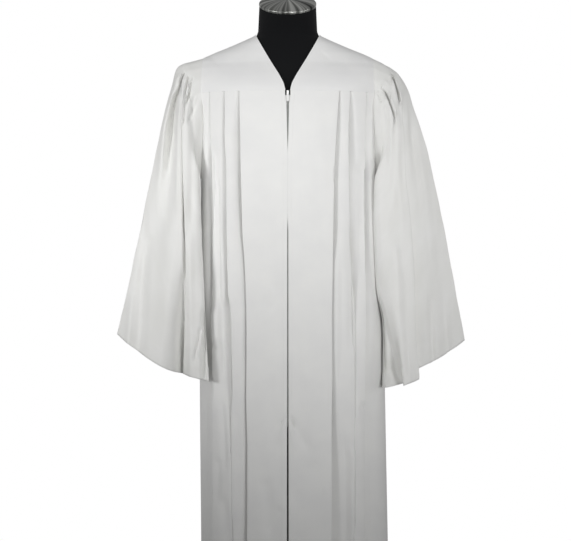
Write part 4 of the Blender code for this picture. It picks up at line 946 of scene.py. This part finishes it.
# The sleeves. Each is one bell-shaped piece, closed under the arm, gathered into the armhole over
# the shoulder, with a deep hem turned up inside. Round a ring, 0 is the sleeve's outer line, 1/4
# its front, 1/2 the underarm seam and 3/4 its back.
SLEEVE_COLUMNS = "down top_x top_height under_x under_height front back edge_x edge_front edge_height"
SLEEVES = {
    "right": table(
        SLEEVE_COLUMNS,
        (0, 0.1865, 1.3895, 0.193, 1.125, 0.066, 0.07, 0.193, 0.064, 1.18),
        (0.06, 0.227, 1.378, 0.204, 1.122, 0.078, 0.08, 0.193, 0.069, 1.16),
        (0.1, 0.243, 1.367, 0.206, 1.106, 0.085, 0.086, 0.1925, 0.072, 1.143),
        (0.16, 0.252, 1.34, 0.207, 1.076, 0.091, 0.092, 0.19, 0.075, 1.115),
        (0.28, 0.266, 1.288, 0.208, 1.026, 0.098, 0.098, 0.188, 0.079, 1.055),
        (0.42, 0.286, 1.201, 0.21, 0.962, 0.103, 0.103, 0.185, 0.088, 0.985),
        (0.58, 0.31, 1.085, 0.211, 0.886, 0.106, 0.107, 0.1805, 0.099, 0.903),
        (0.78, 0.341, 0.935, 0.212, 0.79, 0.109, 0.11, 0.1765, 0.105, 0.797),
        (1, 0.374, 0.785, 0.213, 0.692, 0.112, 0.113, 0.17, 0.111, 0.688),
    ),
    "left": table(
        SLEEVE_COLUMNS,
        (0, 0.1865, 1.3895, 0.193, 1.125, 0.066, 0.07, 0.193, 0.064, 1.18),
        (0.06, 0.226, 1.369, 0.205, 1.122, 0.078, 0.08, 0.193, 0.072, 1.16),
        (0.12, 0.249, 1.348, 0.207, 1.098, 0.084, 0.088, 0.19, 0.078, 1.133),
        (0.18, 0.263, 1.323, 0.209, 1.072, 0.088, 0.094, 0.187, 0.08, 1.105),
        (0.28, 0.281, 1.27, 0.213, 1.026, 0.091, 0.098, 0.186, 0.081, 1.055),
        (0.42, 0.308, 1.185, 0.213, 0.96, 0.094, 0.103, 0.188, 0.082, 0.983),
        (0.58, 0.332, 1.078, 0.21, 0.88, 0.097, 0.107, 0.193, 0.084, 0.897),
        (0.78, 0.36, 0.932, 0.206, 0.78, 0.1, 0.11, 0.222, 0.086, 0.795),
        (1, 0.3895, 0.772, 0.204, 0.672, 0.103, 0.113, 0.249, 0.088, 0.686),
    ),
}
SLEEVE_EDGE_AT = 0.405
SLEEVE_EDGE_WIDTH = 0.075
# How deep a ring is at each share of the way from its outer line to its under line. The empty
# sleeve hangs almost flat, folded along its outer line.
SLEEVE_SECTIONS = {
    "right": table(
        "across deep",
        (0, 0), (0.1, 0.15), (0.17, 0.235), (0.35, 0.46), (0.6, 0.76), (0.78, 0.95),
        (0.86, 1), (0.92, 0.97), (0.965, 0.8), (0.99, 0.48), (1, 0),
    ),
    "left": table(
        "across deep",
        (0, 0), (0.1, 0.14), (0.25, 0.36), (0.42, 0.61), (0.5, 0.725), (0.64, 0.895),
        (0.76, 0.97), (0.84, 1), (0.9, 0.96), (0.955, 0.8), (0.988, 0.46), (1, 0),
    ),
}
SLEEVE_OUTER_ROUND = 0.005
# How far behind the middle the underarm seam hangs, at each share of the way down.
SLEEVE_SEAM_BACK = {
    "right": table("down back", (0, 0), (0.1, 0), (0.25, 0.022), (0.4, 0.045), (1, 0.045)),
    "left": table(
        "down back",
        (0, 0), (0.1, 0), (0.25, 0.022), (0.4, 0.04), (0.6, 0.02), (0.8, -0.03),
        (1, -0.05),
    ),
}
SLEEVE_BELLY = 0.009
SLEEVE_ROLL = 0.003
SLEEVE_JOIN = 0.26
SLEEVE_TO_BODY = 0.0010
SLEEVE_TO_FORM = 0.0040
SLEEVE_ROWS = np.concatenate([np.linspace(0, 0.20, 58)[:-1], np.linspace(0.20, 1, 106)])
RING_POINTS = 900
BACK_COLUMNS = 66
SLEEVE_HEM_ROWS = 9
UNEVEN_SLEEVE = 0.0008
# The armhole's ends, within these distances of the armpit and of the yoke seam.
ARMPIT_WITHIN = 0.002
SEAM_WITHIN = 0.001
# Shares of the way down: where the sleeve flattens, bellies, comes clear of the robe and the form.
FLAT_BY = 0.30
BELLY_OVER = (0.3, 1.0)
CLEAR_BY = 0.16
FORM_CLEAR_BY = 0.04
HEAD_ROUND = 0.72
OUTER_POWER = 0.5
SEAM_REACH = 0.2
EDGE_OVER = (0.02, 0.16)
EDGE_NARROWS = 0.4
EDGE_NARROWS_OVER = (0.5, 0.9)
# In the armhole the sleeve may be this far inside the robe, up to a height above the armpit.
ARMHOLE_LET_IN = 0.03
ARMPIT_BLEND = (ARMPIT_HEIGHT + 0.03, ARMPIT_HEIGHT - 0.01)
# Where the gathers roll forward: under and over these heights, on cloth that faces forward.
ROLL_HEIGHTS = (1.305, 1.280)
ROLL_TURN = (0.2, 0.6)
ROLL_FULL = 0.006
ROLL_FADES = (0.03, 0.14)
# The share of the way down where creases are full, and how far cloth must turn to show them.
SLEEVE_FREE = 0.05
FRONT_TURN = (0.02, 0.25)
SLEEVE_CREASES = {
    "right": creases(
        (-0.216, 1.345, -0.223, 1.306, 0, 0.0015, 0.0022, 0.015, 0.013),
        (-0.2225, 1.312, -0.225, 1.24, 0, 0.0022, 0.003, 0.006, 0.007),
        (-0.2195, 1.345, -0.225, 1.29, 0, 0.0018, 0.0026, -0.004, -0.0045),
        (-0.227, 1.33, -0.229, 1.24, 0.001, 0.003, 0.004, -0.004, -0.006),
        (-0.2095, 1.332, -0.219, 1.288, 0.001, 0.0015, 0.0022, 0.016, 0.013),
        (-0.213, 1.334, -0.221, 1.292, 0, 0.0018, 0.0024, -0.003, -0.003),
        (-0.206, 1.342, -0.212, 1.326, 0, 0.0014, 0.0016, 0.008, 0.006),
        (-0.199, 1.338, -0.205, 1.322, 0, 0.002, 0.0024, 0.0026, 0.0022),
        (-0.1905, 1.308, -0.218, 1.25, 0.003, 0.0026, 0.005, 0.005, 0.005),
        (-0.183, 1.31, -0.1905, 1.285, 0, 0.0022, 0.003, 0.005, 0.003),
        (-0.201, 1.304, -0.209, 1.27, 0, 0.0026, 0.004, 0.004, 0.0034),
        (-0.208, 1.28, -0.209, 1.02, 0.001, 0.006, 0.009, 0.003, 0.004),
        (-0.223, 0.925, -0.23, 0.64, 0, 0.006, 0.03, 0.006, 0.032, -0.6, 1.3),
        (-0.183, 0.8, -0.196, 0.738, 0.002, 0.0024, 0.0036, -0.0045, -0.0055),
        (-0.188, 0.8, -0.202, 0.725, 0.002, 0.0034, 0.005, 0.005, 0.006),
        (-0.18, 0.84, -0.179, 0.68, 0.001, 0.006, 0.007, 0.01, 0.016),
        (-0.315, 1.06, -0.326, 0.73, 0.004, 0.011, 0.013, 0.004, 0.015),
        (-0.3, 1, -0.332, 0.86, 0.002, 0.011, 0.013, 0.005, 0.005),
        (-0.342, 0.87, -0.35, 0.73, 0, 0.007, 0.009, -0.004, -0.007),
        (-0.274, 1.14, -0.296, 0.94, 0.003, 0.011, 0.016, 0.006, 0.003),
        (-0.256, 1.04, -0.264, 0.8, 0, 0.016, 0.02, -0.006, -0.004),
        (-0.209, 1, -0.211, 0.7, 0, 0.008, 0.01, -0.005, -0.008),
    ),
    "left": creases(
        (0.2265, 1.352, 0.243, 1.29, 0.001, 0.0013, 0.002, 0.023, 0.019, 0.2),
        (0.222, 1.35, 0.238, 1.294, 0.001, 0.0022, 0.0032, -0.0045, -0.0035),
        (0.232, 1.35, 0.248, 1.29, 0.001, 0.0026, 0.004, -0.005, -0.004),
        (0.2105, 1.313, 0.232, 1.254, 0.001, 0.0013, 0.002, 0.023, 0.018),
        (0.2155, 1.314, 0.2378, 1.26, 0.001, 0.0022, 0.0032, -0.0045, -0.0035),
        (0.201, 1.327, 0.208, 1.31, 0, 0.0013, 0.0015, 0.013, 0.011),
        (0.195, 1.313, 0.2015, 1.29, 0, 0.0013, 0.0017, 0.016, 0.013),
        (0.1975, 0.866, 0.225, 0.686, 0, 0.004, 0.0215, 0.003, 0.032, 0, 5),
        (0.208, 1.334, 0.198, 1.327, 0, 0.002, 0.0022, 0.0026, 0.002),
        (0.219, 1.328, 0.211, 1.338, 0, 0.002, 0.0022, -0.0024, -0.0018),
        (0.2345, 1.318, 0.25, 1.235, 0.001, 0.003, 0.007, 0.006, 0.006),
        (0.212, 1.285, 0.213, 1.15, 0.001, 0.006, 0.009, 0.006, 0.006),
        (0.231, 1.235, 0.226, 1.06, 0.001, 0.006, 0.011, 0.005, 0.005),
        (0.198, 0.866, 0.208, 0.796, 0.001, 0.003, 0.004, 0.006, 0.006),
        (0.335, 0.98, 0.346, 0.7, 0.004, 0.016, 0.014, 0.006, 0.015),
        (0.308, 0.87, 0.313, 0.7, 0.002, 0.008, 0.009, 0.005, 0.011),
        (0.295, 0.9, 0.297, 0.7, 0.002, 0.008, 0.009, -0.003, -0.007),
        (0.27, 1.24, 0.288, 1, 0.002, 0.008, 0.012, 0.006, 0.004),
        (0.288, 1.18, 0.318, 0.94, 0.002, 0.01, 0.014, -0.004, -0.004),
        (0.233, 0.98, 0.248, 0.68, 0.001, 0.008, 0.011, 0.005, 0.008),
        (0.256, 0.92, 0.264, 0.68, 0, 0.007, 0.009, -0.003, -0.005),
    ),
}


def valley_table(*rows):
    """One valley's place, width and depth, at the heights in its rows. A ridge has a depth under 0."""
    return table("height x wide deep", *rows)


# The longest valleys, and the ridges beside them, with their places and sizes at each height.
SLEEVE_VALLEYS = {
    "right": [
        valley_table(
            (1.357, 0.2245, 0.0014, 0), (1.35, 0.2266, 0.0013, 0.014),
            (1.3357, 0.2316, 0.0019, 0.021), (1.3206, 0.2355, 0.0031, 0.025),
            (1.3013, 0.2425, 0.0052, 0.027), (1.269, 0.249, 0.008, 0.026),
            (1.226, 0.2531, 0.01, 0.022), (1.183, 0.2567, 0.0105, 0.018),
            (1.1185, 0.2584, 0.011, 0.012), (1.054, 0.2595, 0.011, 0.005),
            (1, 0.26, 0.011, 0),
        ),
        valley_table(
            (1.356, 0.235, 0.004, 0), (1.34, 0.242, 0.0045, -0.006),
            (1.3206, 0.248, 0.005, -0.011), (1.3013, 0.2535, 0.0055, -0.014),
            (1.269, 0.2625, 0.0065, -0.016), (1.226, 0.271, 0.008, -0.016),
            (1.183, 0.2745, 0.009, -0.014), (1.1185, 0.28, 0.01, -0.01),
            (1.054, 0.283, 0.011, -0.005), (1, 0.285, 0.011, 0),
        ),
        valley_table(
            (1.31, 0.231, 0.003, 0), (1.269, 0.236, 0.0036, -0.004), (1.226, 0.24, 0.0045, -0.006),
            (1.14, 0.24, 0.005, -0.005), (1.05, 0.24, 0.006, 0),
        ),
        valley_table(
            (0.97, 0.2215, 0.004, 0), (0.93, 0.2222, 0.006, 0.005), (0.881, 0.2225, 0.0085, 0.01),
            (0.817, 0.2245, 0.0115, 0.016), (0.774, 0.2255, 0.013, 0.02), (0.66, 0.227, 0.014, 0.024),
        ),
    ],
    "left": [],
}
SLEEVE_BACK_CREASES = {
    "right": creases(
        (-0.22, 1.345, -0.246, 1.06, 0.004, 0.005, 0.013, 0.008, 0.012),
        (-0.205, 1.32, -0.22, 0.9, 0.003, 0.004, 0.012, 0.006, 0.01),
        (-0.238, 1.33, -0.285, 0.86, 0.005, 0.005, 0.016, 0.007, 0.01),
        (-0.25, 1.06, -0.27, 0.7, 0.002, 0.013, 0.016, 0.004, 0.014),
        (-0.305, 0.96, -0.325, 0.75, 0.002, 0.012, 0.015, 0.003, 0.011),
    ),
    "left": creases(
        (0.223, 1.34, 0.252, 1.02, 0.004, 0.005, 0.013, 0.008, 0.011),
        (0.206, 1.318, 0.224, 0.94, 0.003, 0.004, 0.012, 0.006, 0.01),
        (0.24, 1.32, 0.295, 0.88, 0.005, 0.005, 0.016, 0.0065, 0.01),
        (0.26, 1.04, 0.275, 0.69, 0.002, 0.013, 0.016, 0.004, 0.014),
        (0.318, 0.94, 0.335, 0.75, 0.002, 0.012, 0.015, 0.003, 0.011),
    ),
}
# A laid fold's section: places past its line, towards the sleeve's outside, and depths under the
# cloth around it, in millimetres. Then where each sleeve's fold runs, and how far it is formed.
GROOVE = table(
    "past under",
    (-14, 0), (-8.5, -1.2), (-5.6, -1.2), (-4.6, 0.6), (-4.2, 4), (-3.4, 10), (-1.6, 15),
    (1.4, 15), (2.8, 11), (3.8, 5), (4.6, 0.6), (5.6, -1.2), (8.5, -1.2), (14, 0),
)
OVERLAP = table(
    "past under",
    (-22, 0), (-10, -2.8), (-2, -4.4), (1, -4.2), (2.2, -3), (2.2, -1), (1, 1), (-1.5, 2.6),
    (-3.2, 4.2), (-3.6, 6), (-2.4, 8), (0.5, 9.6), (6, 10), (16, 8), (30, 4), (50, 0),
)
SLEEVE_FOLDS = {
    "right": (
        table(
            "height x",
            (1.3, 0.231), (1.239, 0.229), (1.091, 0.2262), (0.938, 0.2212), (0.878, 0.2205), (0.7, 0.229),
        ),
        table(
            "height formed",
            (1.255, 0), (1.235, 0.75), (1.15, 0.9), (1, 0.9), (0.93, 0.8), (0.85, 0.3), (0.68, 0.2),
        ),
        GROOVE,
    ),
    "left": (
        table(
            "height x",
            (1.304, 0.2449), (1.228, 0.2518), (1.118, 0.2533), (1.058, 0.2599),
            (0.923, 0.269), (0.787, 0.272), (0.7, 0.28),
        ),
        table(
            "height formed",
            (1.29, 0), (1.26, 0.3), (1.18, 0.6), (1.12, 0.8), (1, 1), (0.9, 1), (0.78, 1), (0.68, 1),
        ),
        OVERLAP,
    ),
}
# Columns of cloth before and after the fold's section, and how far its two sides part at the hem.
SECTION_COLUMNS = {"right": (98, 104), "left": (84, 112)}
HEM_STEP = {"right": (0, 0), "left": (0.0130, 0.0070)}
HEM_STEP_WIDE = (0.075, 0.090)
HEM_STEP_FROM = 0.60
STEP_OVERLAP = 0.004
STEP_BESIDE = 0.010
SECTION_DEPTH = 0.0004
FOLD_EVENED = 7


def armhole(side, around):
    """Points of the armhole at the given places round it, from the shoulder seam by the front."""
    last = -1 if SIDES[side] > 0 else 0
    in_armhole = (BODY_ROWS >= ARMPIT_HEIGHT - ARMPIT_WITHIN) & (BODY_ROWS < YOKE_SEAM_HEIGHT - SEAM_WITHIN)
    front = np.concatenate([front_yokes[side][:, -1], front_panels[side][in_armhole, -1]])
    back = np.concatenate([back_yoke[:, last], back_panel[in_armhole[: len(back_panel)], last]])
    front[0] = back[0] = (front[0] + back[0]) / 2
    front[-1] = back[-1] = (front[-1] + back[-1]) / 2
    lines = []
    for line, share in ((front, around * 2), (back, (1 - around) * 2)):
        along = lengths(line)
        lines.append(points_at(np.clip(share, 0, 1) * along[-1], along, line))
    return np.where((around <= 0.5)[:, None], lines[0], lines[1])


def round_ring(side, size, around, down):
    """The x, y and z of one ring of a sleeve, as a rounded loop from its top to its under line."""
    out, across = np.cos(2 * math.pi * around), np.sin(2 * math.pi * around)
    x = (size["top_x"] + size["under_x"]) / 2 + (size["top_x"] - size["under_x"]) / 2 * out
    z = (size["top_height"] + size["under_height"]) / 2
    z = z + (size["top_height"] - size["under_height"]) / 2 * out
    z = z - SLEEVE_BELLY * float(ramp(down, *BELLY_OVER)) * (1 - out**2)
    depth = np.where(across > 0, size["front"], size["back"])
    flat = column(SLEEVE_SECTIONS[side], "deep", (1 - out) / 2, "across")
    deep = flat + (np.abs(across) ** HEAD_ROUND - flat) * (1 - float(ramp(down, 0.0, FLAT_BY)))
    deep = depth * deep + SLEEVE_OUTER_ROUND * np.abs(across) ** OUTER_POWER
    back = float(column(SLEEVE_SEAM_BACK[side], "back", down, "down")) * ramp(-out, SEAM_REACH, 1.0)
    return np.stack([x, back - deep * np.sign(across), z], axis=-1)


def plain_ring(side, around, down):
    """One ring of the sleeve before its folds, with its front edge drawn in beside the robe."""
    rows = SLEEVES[side]
    size = {name: float(column(rows, name, down, "down")) for name in rows}
    edge = np.array([size["edge_x"], -size["edge_front"], size["edge_height"]])
    drawn_in = edge - round_ring(side, size, np.array([SLEEVE_EDGE_AT]), down)[0]
    wide = SLEEVE_EDGE_WIDTH * (1 - EDGE_NARROWS * float(ramp(down, *EDGE_NARROWS_OVER)))
    share = np.exp(-(((around - SLEEVE_EDGE_AT) / wide) ** 2)) * float(ramp(down, *EDGE_OVER))
    return (round_ring(side, size, around, down) + drawn_in * share[:, None]) * np.array([SIDES[side], 1, 1])


def push_out(points, sway, width, front, back, power):
    """Points inside a rounded tube, moved straight out to its surface."""
    x, y = points[:, 0] - sway, points[:, 1]
    level = (np.abs(x) / width) ** power + (np.abs(y) / np.where(y < 0, front, back)) ** power
    grow = np.maximum(1, np.maximum(level, 1e-6) ** (-1 / power))
    moved = points.copy()
    moved[:, 0], moved[:, 1] = sway + x * grow, y * grow
    return moved


def clear_of_body(points, down):
    """Sleeve points kept off the robe's body and off the form."""
    z = points[:, 2]
    in_armhole = 1 - ramp(z, *ARMPIT_BLEND)
    off_body = SLEEVE_TO_BODY * ramp(down, 0.0, CLEAR_BY) - ARMHOLE_LET_IN * in_armhole
    off_form = SHOULDER_EASE + (SLEEVE_TO_FORM - SHOULDER_EASE) * ramp(down, 0.0, FORM_CLEAR_BY)
    for shape, off in ((BODY, off_body), (FORM, off_form)):
        size = {name: column(shape, name, z) for name in shape}
        sway = size.get("sway", np.zeros(len(z)))
        wide, front, back = (size[name] + off for name in ("half_width", "front", "back"))
        points = push_out(points, sway, wide, front, back, size["roundness"])
    return points


def valley(rows, points):
    """How far one long valley presses each point in."""
    at, wide, deep = (column(rows, name, points[..., 2]) for name in ("x", "wide", "deep"))
    return deep * np.exp(-(((np.abs(points[..., 0]) - at) / wide) ** 2))


def smooth_sleeve(side):
    """The middle of the sleeve's cloth with its soft creases, as even rings down to the hem."""
    around = np.arange(RING_POINTS) / RING_POINTS
    join = armhole(side, around) - plain_ring(side, around, 0.0)
    rings = []
    for down in SLEEVE_ROWS:
        ring = plain_ring(side, around, down) + join * (1 - ramp(down, 0.0, SLEEVE_JOIN))
        rings.append(clear_of_body(ring, down) if down > 0 else ring)
    grid = np.array(rings)
    normals = outward(grid, closed=True)
    free = ramp(SLEEVE_ROWS, 0.0, SLEEVE_FREE)[:, None]
    facing = ramp(-normals[..., 1], *FRONT_TURN)
    pressed = pressed_by(SLEEVE_CREASES[side], grid, facing)
    pressed += facing * sum(valley(rows, grid) for rows in SLEEVE_VALLEYS[side])
    pressed -= pressed_by(SLEEVE_BACK_CREASES[side], grid, ramp(normals[..., 1], *FRONT_TURN))
    grid = grid + normals * (uneven(grid, UNEVEN_SLEEVE) * free)[..., None]
    # The gathers roll forward over the front of the armhole seam.
    across = ramp(-grid[..., 2], -ROLL_HEIGHTS[0], -ROLL_HEIGHTS[1]) * ramp(-normals[..., 1], *ROLL_TURN)
    rolled = ramp(SLEEVE_ROWS, 0.0, ROLL_FULL) * (1 - ramp(SLEEVE_ROWS, *ROLL_FADES))
    grid[..., 1] += pressed * free - SLEEVE_ROLL * across * rolled[:, None]
    return grid


def on_line(ring, along, line):
    """How far along the front of a ring the fold's line crosses it, or None."""
    past = np.abs(ring[:, 0]) - np.interp(ring[:, 2], line["height"][::-1], line["x"][::-1])
    crossed = np.nonzero((past[:-1] > 0) & (past[1:] <= 0))[0]
    if not len(crossed):
        return None
    i = crossed[-1]
    return along[i] + (along[i + 1] - along[i]) * past[i] / (past[i] - past[i + 1])


def fold_places(grid, line):
    """Where the fold lies along the front half of every ring, as a share of the half, evened out."""
    half = grid.shape[1] // 2
    outer = half // 12
    found = np.full(len(grid), np.nan)
    for r, ring in enumerate(grid[:, : half + 1]):
        along = lengths(ring)
        place = on_line(ring[outer:], along[outer:], line)
        if place is not None:
            found[r] = place / along[-1]
    rows = np.arange(len(grid))
    known = ~np.isnan(found)
    padded = np.pad(np.interp(rows, rows[known], found[known]), FOLD_EVENED // 2, mode="edge")
    return np.convolve(padded, np.ones(FOLD_EVENED) / FOLD_EVENED, mode="valid")


def laid_in_fold(side, grid):
    """The sleeve's rings set out again, with the laid fold's section let in along its line."""
    line, formed, section = SLEEVE_FOLDS[side]
    past, depth = section["past"][::-1] / 1000, section["under"][::-1] / 1000
    flat = np.sort(past)[::-1]
    before, after = SECTION_COLUMNS[side]
    drop, lift = HEM_STEP[side]
    half = grid.shape[1] // 2
    normals = outward(grid, closed=True)
    places = fold_places(grid, line)
    made = []
    for r, ring in enumerate(grid):
        front = ring[: half + 1]
        along = lengths(front)
        middle = places[r] * along[-1]
        z = float(np.interp(middle, along, front[:, 2]))
        share = float(np.interp(z, formed["height"][::-1], formed["formed"][::-1]))
        spots = middle - (flat + (past - flat) * share)
        first = np.linspace(0.0, spots[0], before + 1)[:-1]
        last = np.linspace(spots[-1], along[-1], after + 1)[1:]
        at = np.concatenate([first, spots, last])
        under = np.concatenate([np.zeros(before), depth * share, np.zeros(after)])
        point = points_at(at, along, front)
        normal = unit(points_at(at, along, normals[r, : half + 1]))
        point = point - normal * under[:, None]
        low = float(ramp(SLEEVE_ROWS[r], HEM_STEP_FROM, 1.0))
        over = (at > middle - STEP_OVERLAP) & (under < SECTION_DEPTH)
        beside = ~over & (at < middle + STEP_BESIDE)
        near, far = (np.exp(-((at - middle) / wide) ** 2) for wide in HEM_STEP_WIDE)
        point[:, 2] -= low * drop * np.where(over, near, 0)
        point[:, 2] += low * lift * np.where(beside, far, 0)
        back = np.concatenate([ring[half:], ring[:1]])
        along = lengths(back)
        spots = np.linspace(0, along[-1], BACK_COLUMNS + 2)[1:-1]
        made.append(np.concatenate([point, points_at(spots, along, back)]))
    return np.array(made)


# The sleeves' copy of the cloth is painted a little lighter and warmer than the body's, as painted light.
sleeve_cloth = white_polyester("white_polyester_sleeve", "#F4F4F2", "#EFEFEC")
for side in SIDES:
    grid = laid_in_fold(side, smooth_sleeve(side))
    grid[0] = grid[0] - outward(grid, closed=True)[0] * SEAM_DIP
    piece = cloth_piece(f"sleeve_bell_{side}", hemmed(grid, SLEEVE_HEM_ROWS, True), sleeve_cloth, closed=True)
    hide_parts(f"sleeve_{side}")
    round_hem = (-SLEEVE_HEM_ROWS, [*range(grid.shape[1]), 0])
    sew(f"stitches_sleeve_{side}", grid[round_hem], outward(grid, closed=True)[round_hem])

# The zip. White polyester tapes carry two interlocked nylon coils, sewn in behind the turned edges
# of the fronts. The zinc slider, lacquered white, stands at the top, and its pull tab hangs from it.
COIL_PITCH = 0.00127
COIL_WIDTH = 0.0040
COIL_OVERLAP = 0.0024
COIL_END_ROUND = 0.0004
COIL_DEPTH = 0.0016
COIL_TURN_HEIGHT = 0.00095
COIL_BEHIND = 0.0022
COIL_BOTTOM = ZIP_BOTTOM + 0.004
COIL_TOP = 1.2990
COIL_EDGE_ANGLE = 40
SOFT_EDGE = 0.0003


def woven_tape():
    """Woven polyester tape: matte white, with a ribbed twill across it."""
    made, tree = finish("white_woven_tape", Roughness=0.7, Sheen_Weight=0.05)
    place = node(tree, "TexCoord").outputs["Object"]
    # The real ribs are about 0.35 mm apart. They are drawn at 0.9 mm.
    rib_mm = 0.9
    parts = node(tree, "SeparateXYZ", {"Vector": place}).outputs
    slant = node(tree, "Math", {0: parts["X"], 1: parts["Z"]}, operation="ADD").outputs[0]
    turned = node(tree, "Math", {0: slant, 1: 2000 * math.pi / rib_mm}, operation="MULTIPLY").outputs[0]
    ribs = node(tree, "Math", {0: turned}, operation="SINE").outputs[0]
    mottle = node(tree, "TexNoise", {"Vector": place, "Scale": 90.0, "Detail": 3.0}).outputs["Fac"]
    return patterned(made, mottle, ("#DEDEDB", "#F0F0EE"), relief=ribs, strength=0.3, height=0.0001)


def nylon_coil():
    """Extruded nylon, slightly clear, with a soft shine. Its colour is painted greyer than the cloth, as
    shade for the gap it lies in.
    """
    made, tree = finish("white_nylon_coil", Roughness=0.35, IOR=1.53, Subsurface_Weight=0.1)
    place = node(tree, "TexCoord").outputs["Object"]
    cloud = node(tree, "TexNoise", {"Vector": place, "Scale": 300.0, "Detail": 2.0}).outputs["Fac"]
    # The greys are painted shade: the coil is white, and sits in the shadow between the turned edges.
    return patterned(made, cloud, ("#B4B4B0", "#CACAC6"))


def white_lacquer():
    """Zinc die casting under baked white lacquer: smooth and glossy, faintly pitted and worn."""
    made, tree = finish("white_lacquered_zinc", Roughness=0.28, IOR=1.5, Coat_Weight=0.3)
    place = node(tree, "TexCoord").outputs["Object"]
    noise = {"Vector": place, "Scale": 900.0, "Detail": 4.0, "Roughness": 0.6}
    pits = node(tree, "TexNoise", noise).outputs["Fac"]
    raised = {"relief": pits, "strength": 0.1, "height": 0.0001}
    return patterned(made, pits, ("#C8C8C6", "#F7F7F6"), stops=(0.24, 0.36), **raised)


def coil_turns():
    """The turns of both coils, as short six-sided bars that reach in from either side in turn."""
    z = np.arange(COIL_BOTTOM, COIL_TOP, COIL_PITCH / 2)
    side = np.where(np.arange(len(z)) % 2, 1.0, -1.0)
    y = COIL_BEHIND - column(BODY, "front", z)
    angles = np.radians(np.arange(6) * 60)
    rings = []
    for reach in (COIL_WIDTH / 2, COIL_WIDTH / 2 - COIL_OVERLAP - COIL_END_ROUND):
        ring = np.zeros((len(z), 6, 3))
        ring[..., 0] = (side * reach)[:, None]
        ring[..., 1] = y[:, None] + COIL_DEPTH / 2 * np.cos(angles)
        ring[..., 2] = z[:, None] + COIL_TURN_HEIGHT / 2 * np.sin(angles)
        rings.append(ring)
    points = np.concatenate(rings, axis=1).reshape(-1, 3)
    bar = [(k, (k + 1) % 6, 6 + (k + 1) % 6, 6 + k) for k in range(6)]
    bar += [(5, 4, 3, 2, 1, 0), (6, 7, 8, 9, 10, 11)]
    return points, [tuple(i * 12 + corner for corner in face) for i in range(len(z)) for face in bar]


tape = woven_tape()
for side in SIDES:
    wear(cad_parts[f"zip_tape_{side}"], tape)
coil = mesh_piece("zip_coil", *coil_turns(), smooth_angle=COIL_EDGE_ANGLE)
wear(coil, nylon_coil())
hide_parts("zip_chain")
lacquer = white_lacquer()
for part in ("zip_slider", "zip_pull"):
    wear(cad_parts[part], lacquer)
    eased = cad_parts[part].modifiers.new("eased edges", "BEVEL")
    eased.width = SOFT_EDGE
    eased.segments = 2

# The room: a plain pale floor that ends before it comes into the camera's view, a white
# surround, a large soft light on the left, and three weaker ones: right, low in front, and above.
PIXEL = 0.0022
FRAME_WIDE = 571
CAMERA_BACK = 4.0
CAMERA_X = -0.0048
CAMERA_HEIGHT = 0.925
FLOOR_RADIUS = 1.9
FLOOR_SIDES = 96
FLOOR_UNDER = 0.0005
SENSOR_MM = 36
SURROUND_LIGHT = 0.306


def pale_floor():
    """A matte, nearly even grey studio floor, as a round disc under the stand."""
    made, tree = finish("pale_studio_floor", Roughness=0.8)
    cloud = node(tree, "TexNoise", {"Vector": node(tree, "TexCoord").outputs["Object"], "Scale": 3.0})
    patterned(made, cloud.outputs["Fac"], ("#CCCCCC", "#D2D2D2"))
    angle = np.linspace(0, 2 * math.pi, FLOOR_SIDES, endpoint=False)
    mesh = bpy.data.meshes.new("floor")
    level = np.full(FLOOR_SIDES, -FLOOR_UNDER)
    rim = np.stack([FLOOR_RADIUS * np.cos(angle), FLOOR_RADIUS * np.sin(angle), level], axis=-1)
    mesh.from_pydata(rim.tolist(), [], [tuple(range(FLOOR_SIDES))])
    mesh.materials.append(made)
    floor = bpy.data.objects.new("floor", mesh)
    bpy.context.scene.collection.objects.link(floor)


def soft_light(name, place, aim, size, power, spread, colour="#FFFFFF"):
    """A square softbox at a place, turned to a point, with its beam's spread in degrees."""
    lamp = bpy.data.lights.new(name, "AREA")
    lamp.shape = "RECTANGLE"
    lamp.size, lamp.size_y = size
    lamp.energy = power
    lamp.spread = math.radians(spread)
    lamp.color = linear(colour)[:3]
    made = bpy.data.objects.new(name, lamp)
    made.location = place
    toward = np.array(aim) - np.array(place)
    yaw = math.atan2(-toward[0], toward[1])
    pitch = math.atan2(toward[2], math.hypot(toward[0], toward[1]))
    made.rotation_euler = (math.pi / 2 + pitch, 0, yaw)
    bpy.context.scene.collection.objects.link(made)
    return made


def white_surround(strength):
    """White to the camera, and a dimmer even light on the robe."""
    world = bpy.data.worlds.new("white_surround")
    world.use_nodes = True
    tree = world.node_tree
    tree.nodes.clear()
    lit = node(tree, "Background", {"Color": linear("#FFFFFF"), "Strength": strength})
    seen = node(tree, "Background", {"Color": linear("#FFFFFF"), "Strength": 1.0})
    ray = node(tree, "LightPath")
    both = node(tree, "MixShader", {0: ray.outputs["Is Camera Ray"], 1: lit.outputs[0], 2: seen.outputs[0]})
    node(tree, "OutputWorld", {"Surface": both.outputs[0]})
    bpy.context.scene.world = world


pale_floor()
white_surround(SURROUND_LIGHT)
soft_light("key_left", (-2.3, -1.7, 1.3), (-0.40, 0, 1.06), (0.8, 0.8), 1.18, 24)
soft_light("fill_right", (2.6, -0.9, 1.5), (0.33, 0, 1.14), (0.8, 0.8), 0.42, 26)
soft_light("fill_low", (1.3, -2.5, 0.9), (0.12, 0, 0.85), (0.7, 0.7), 0.72, 30)
soft_light("front", (0.0, -3.0, 1.7), (0.0, 0, 1.36), (0.5, 0.5), 0.45, 20)

lens = bpy.data.cameras.new("camera")
lens.sensor_width = SENSOR_MM
lens.lens = SENSOR_MM * CAMERA_BACK / (FRAME_WIDE * PIXEL)
camera = bpy.data.objects.new("camera", lens)
camera.location = (CAMERA_X, -CAMERA_BACK, CAMERA_HEIGHT)
camera.rotation_euler = (math.pi / 2, 0, 0)
bpy.context.scene.collection.objects.link(camera)
bpy.context.scene.camera = camera
bpy.context.scene.view_settings.view_transform = "Standard"
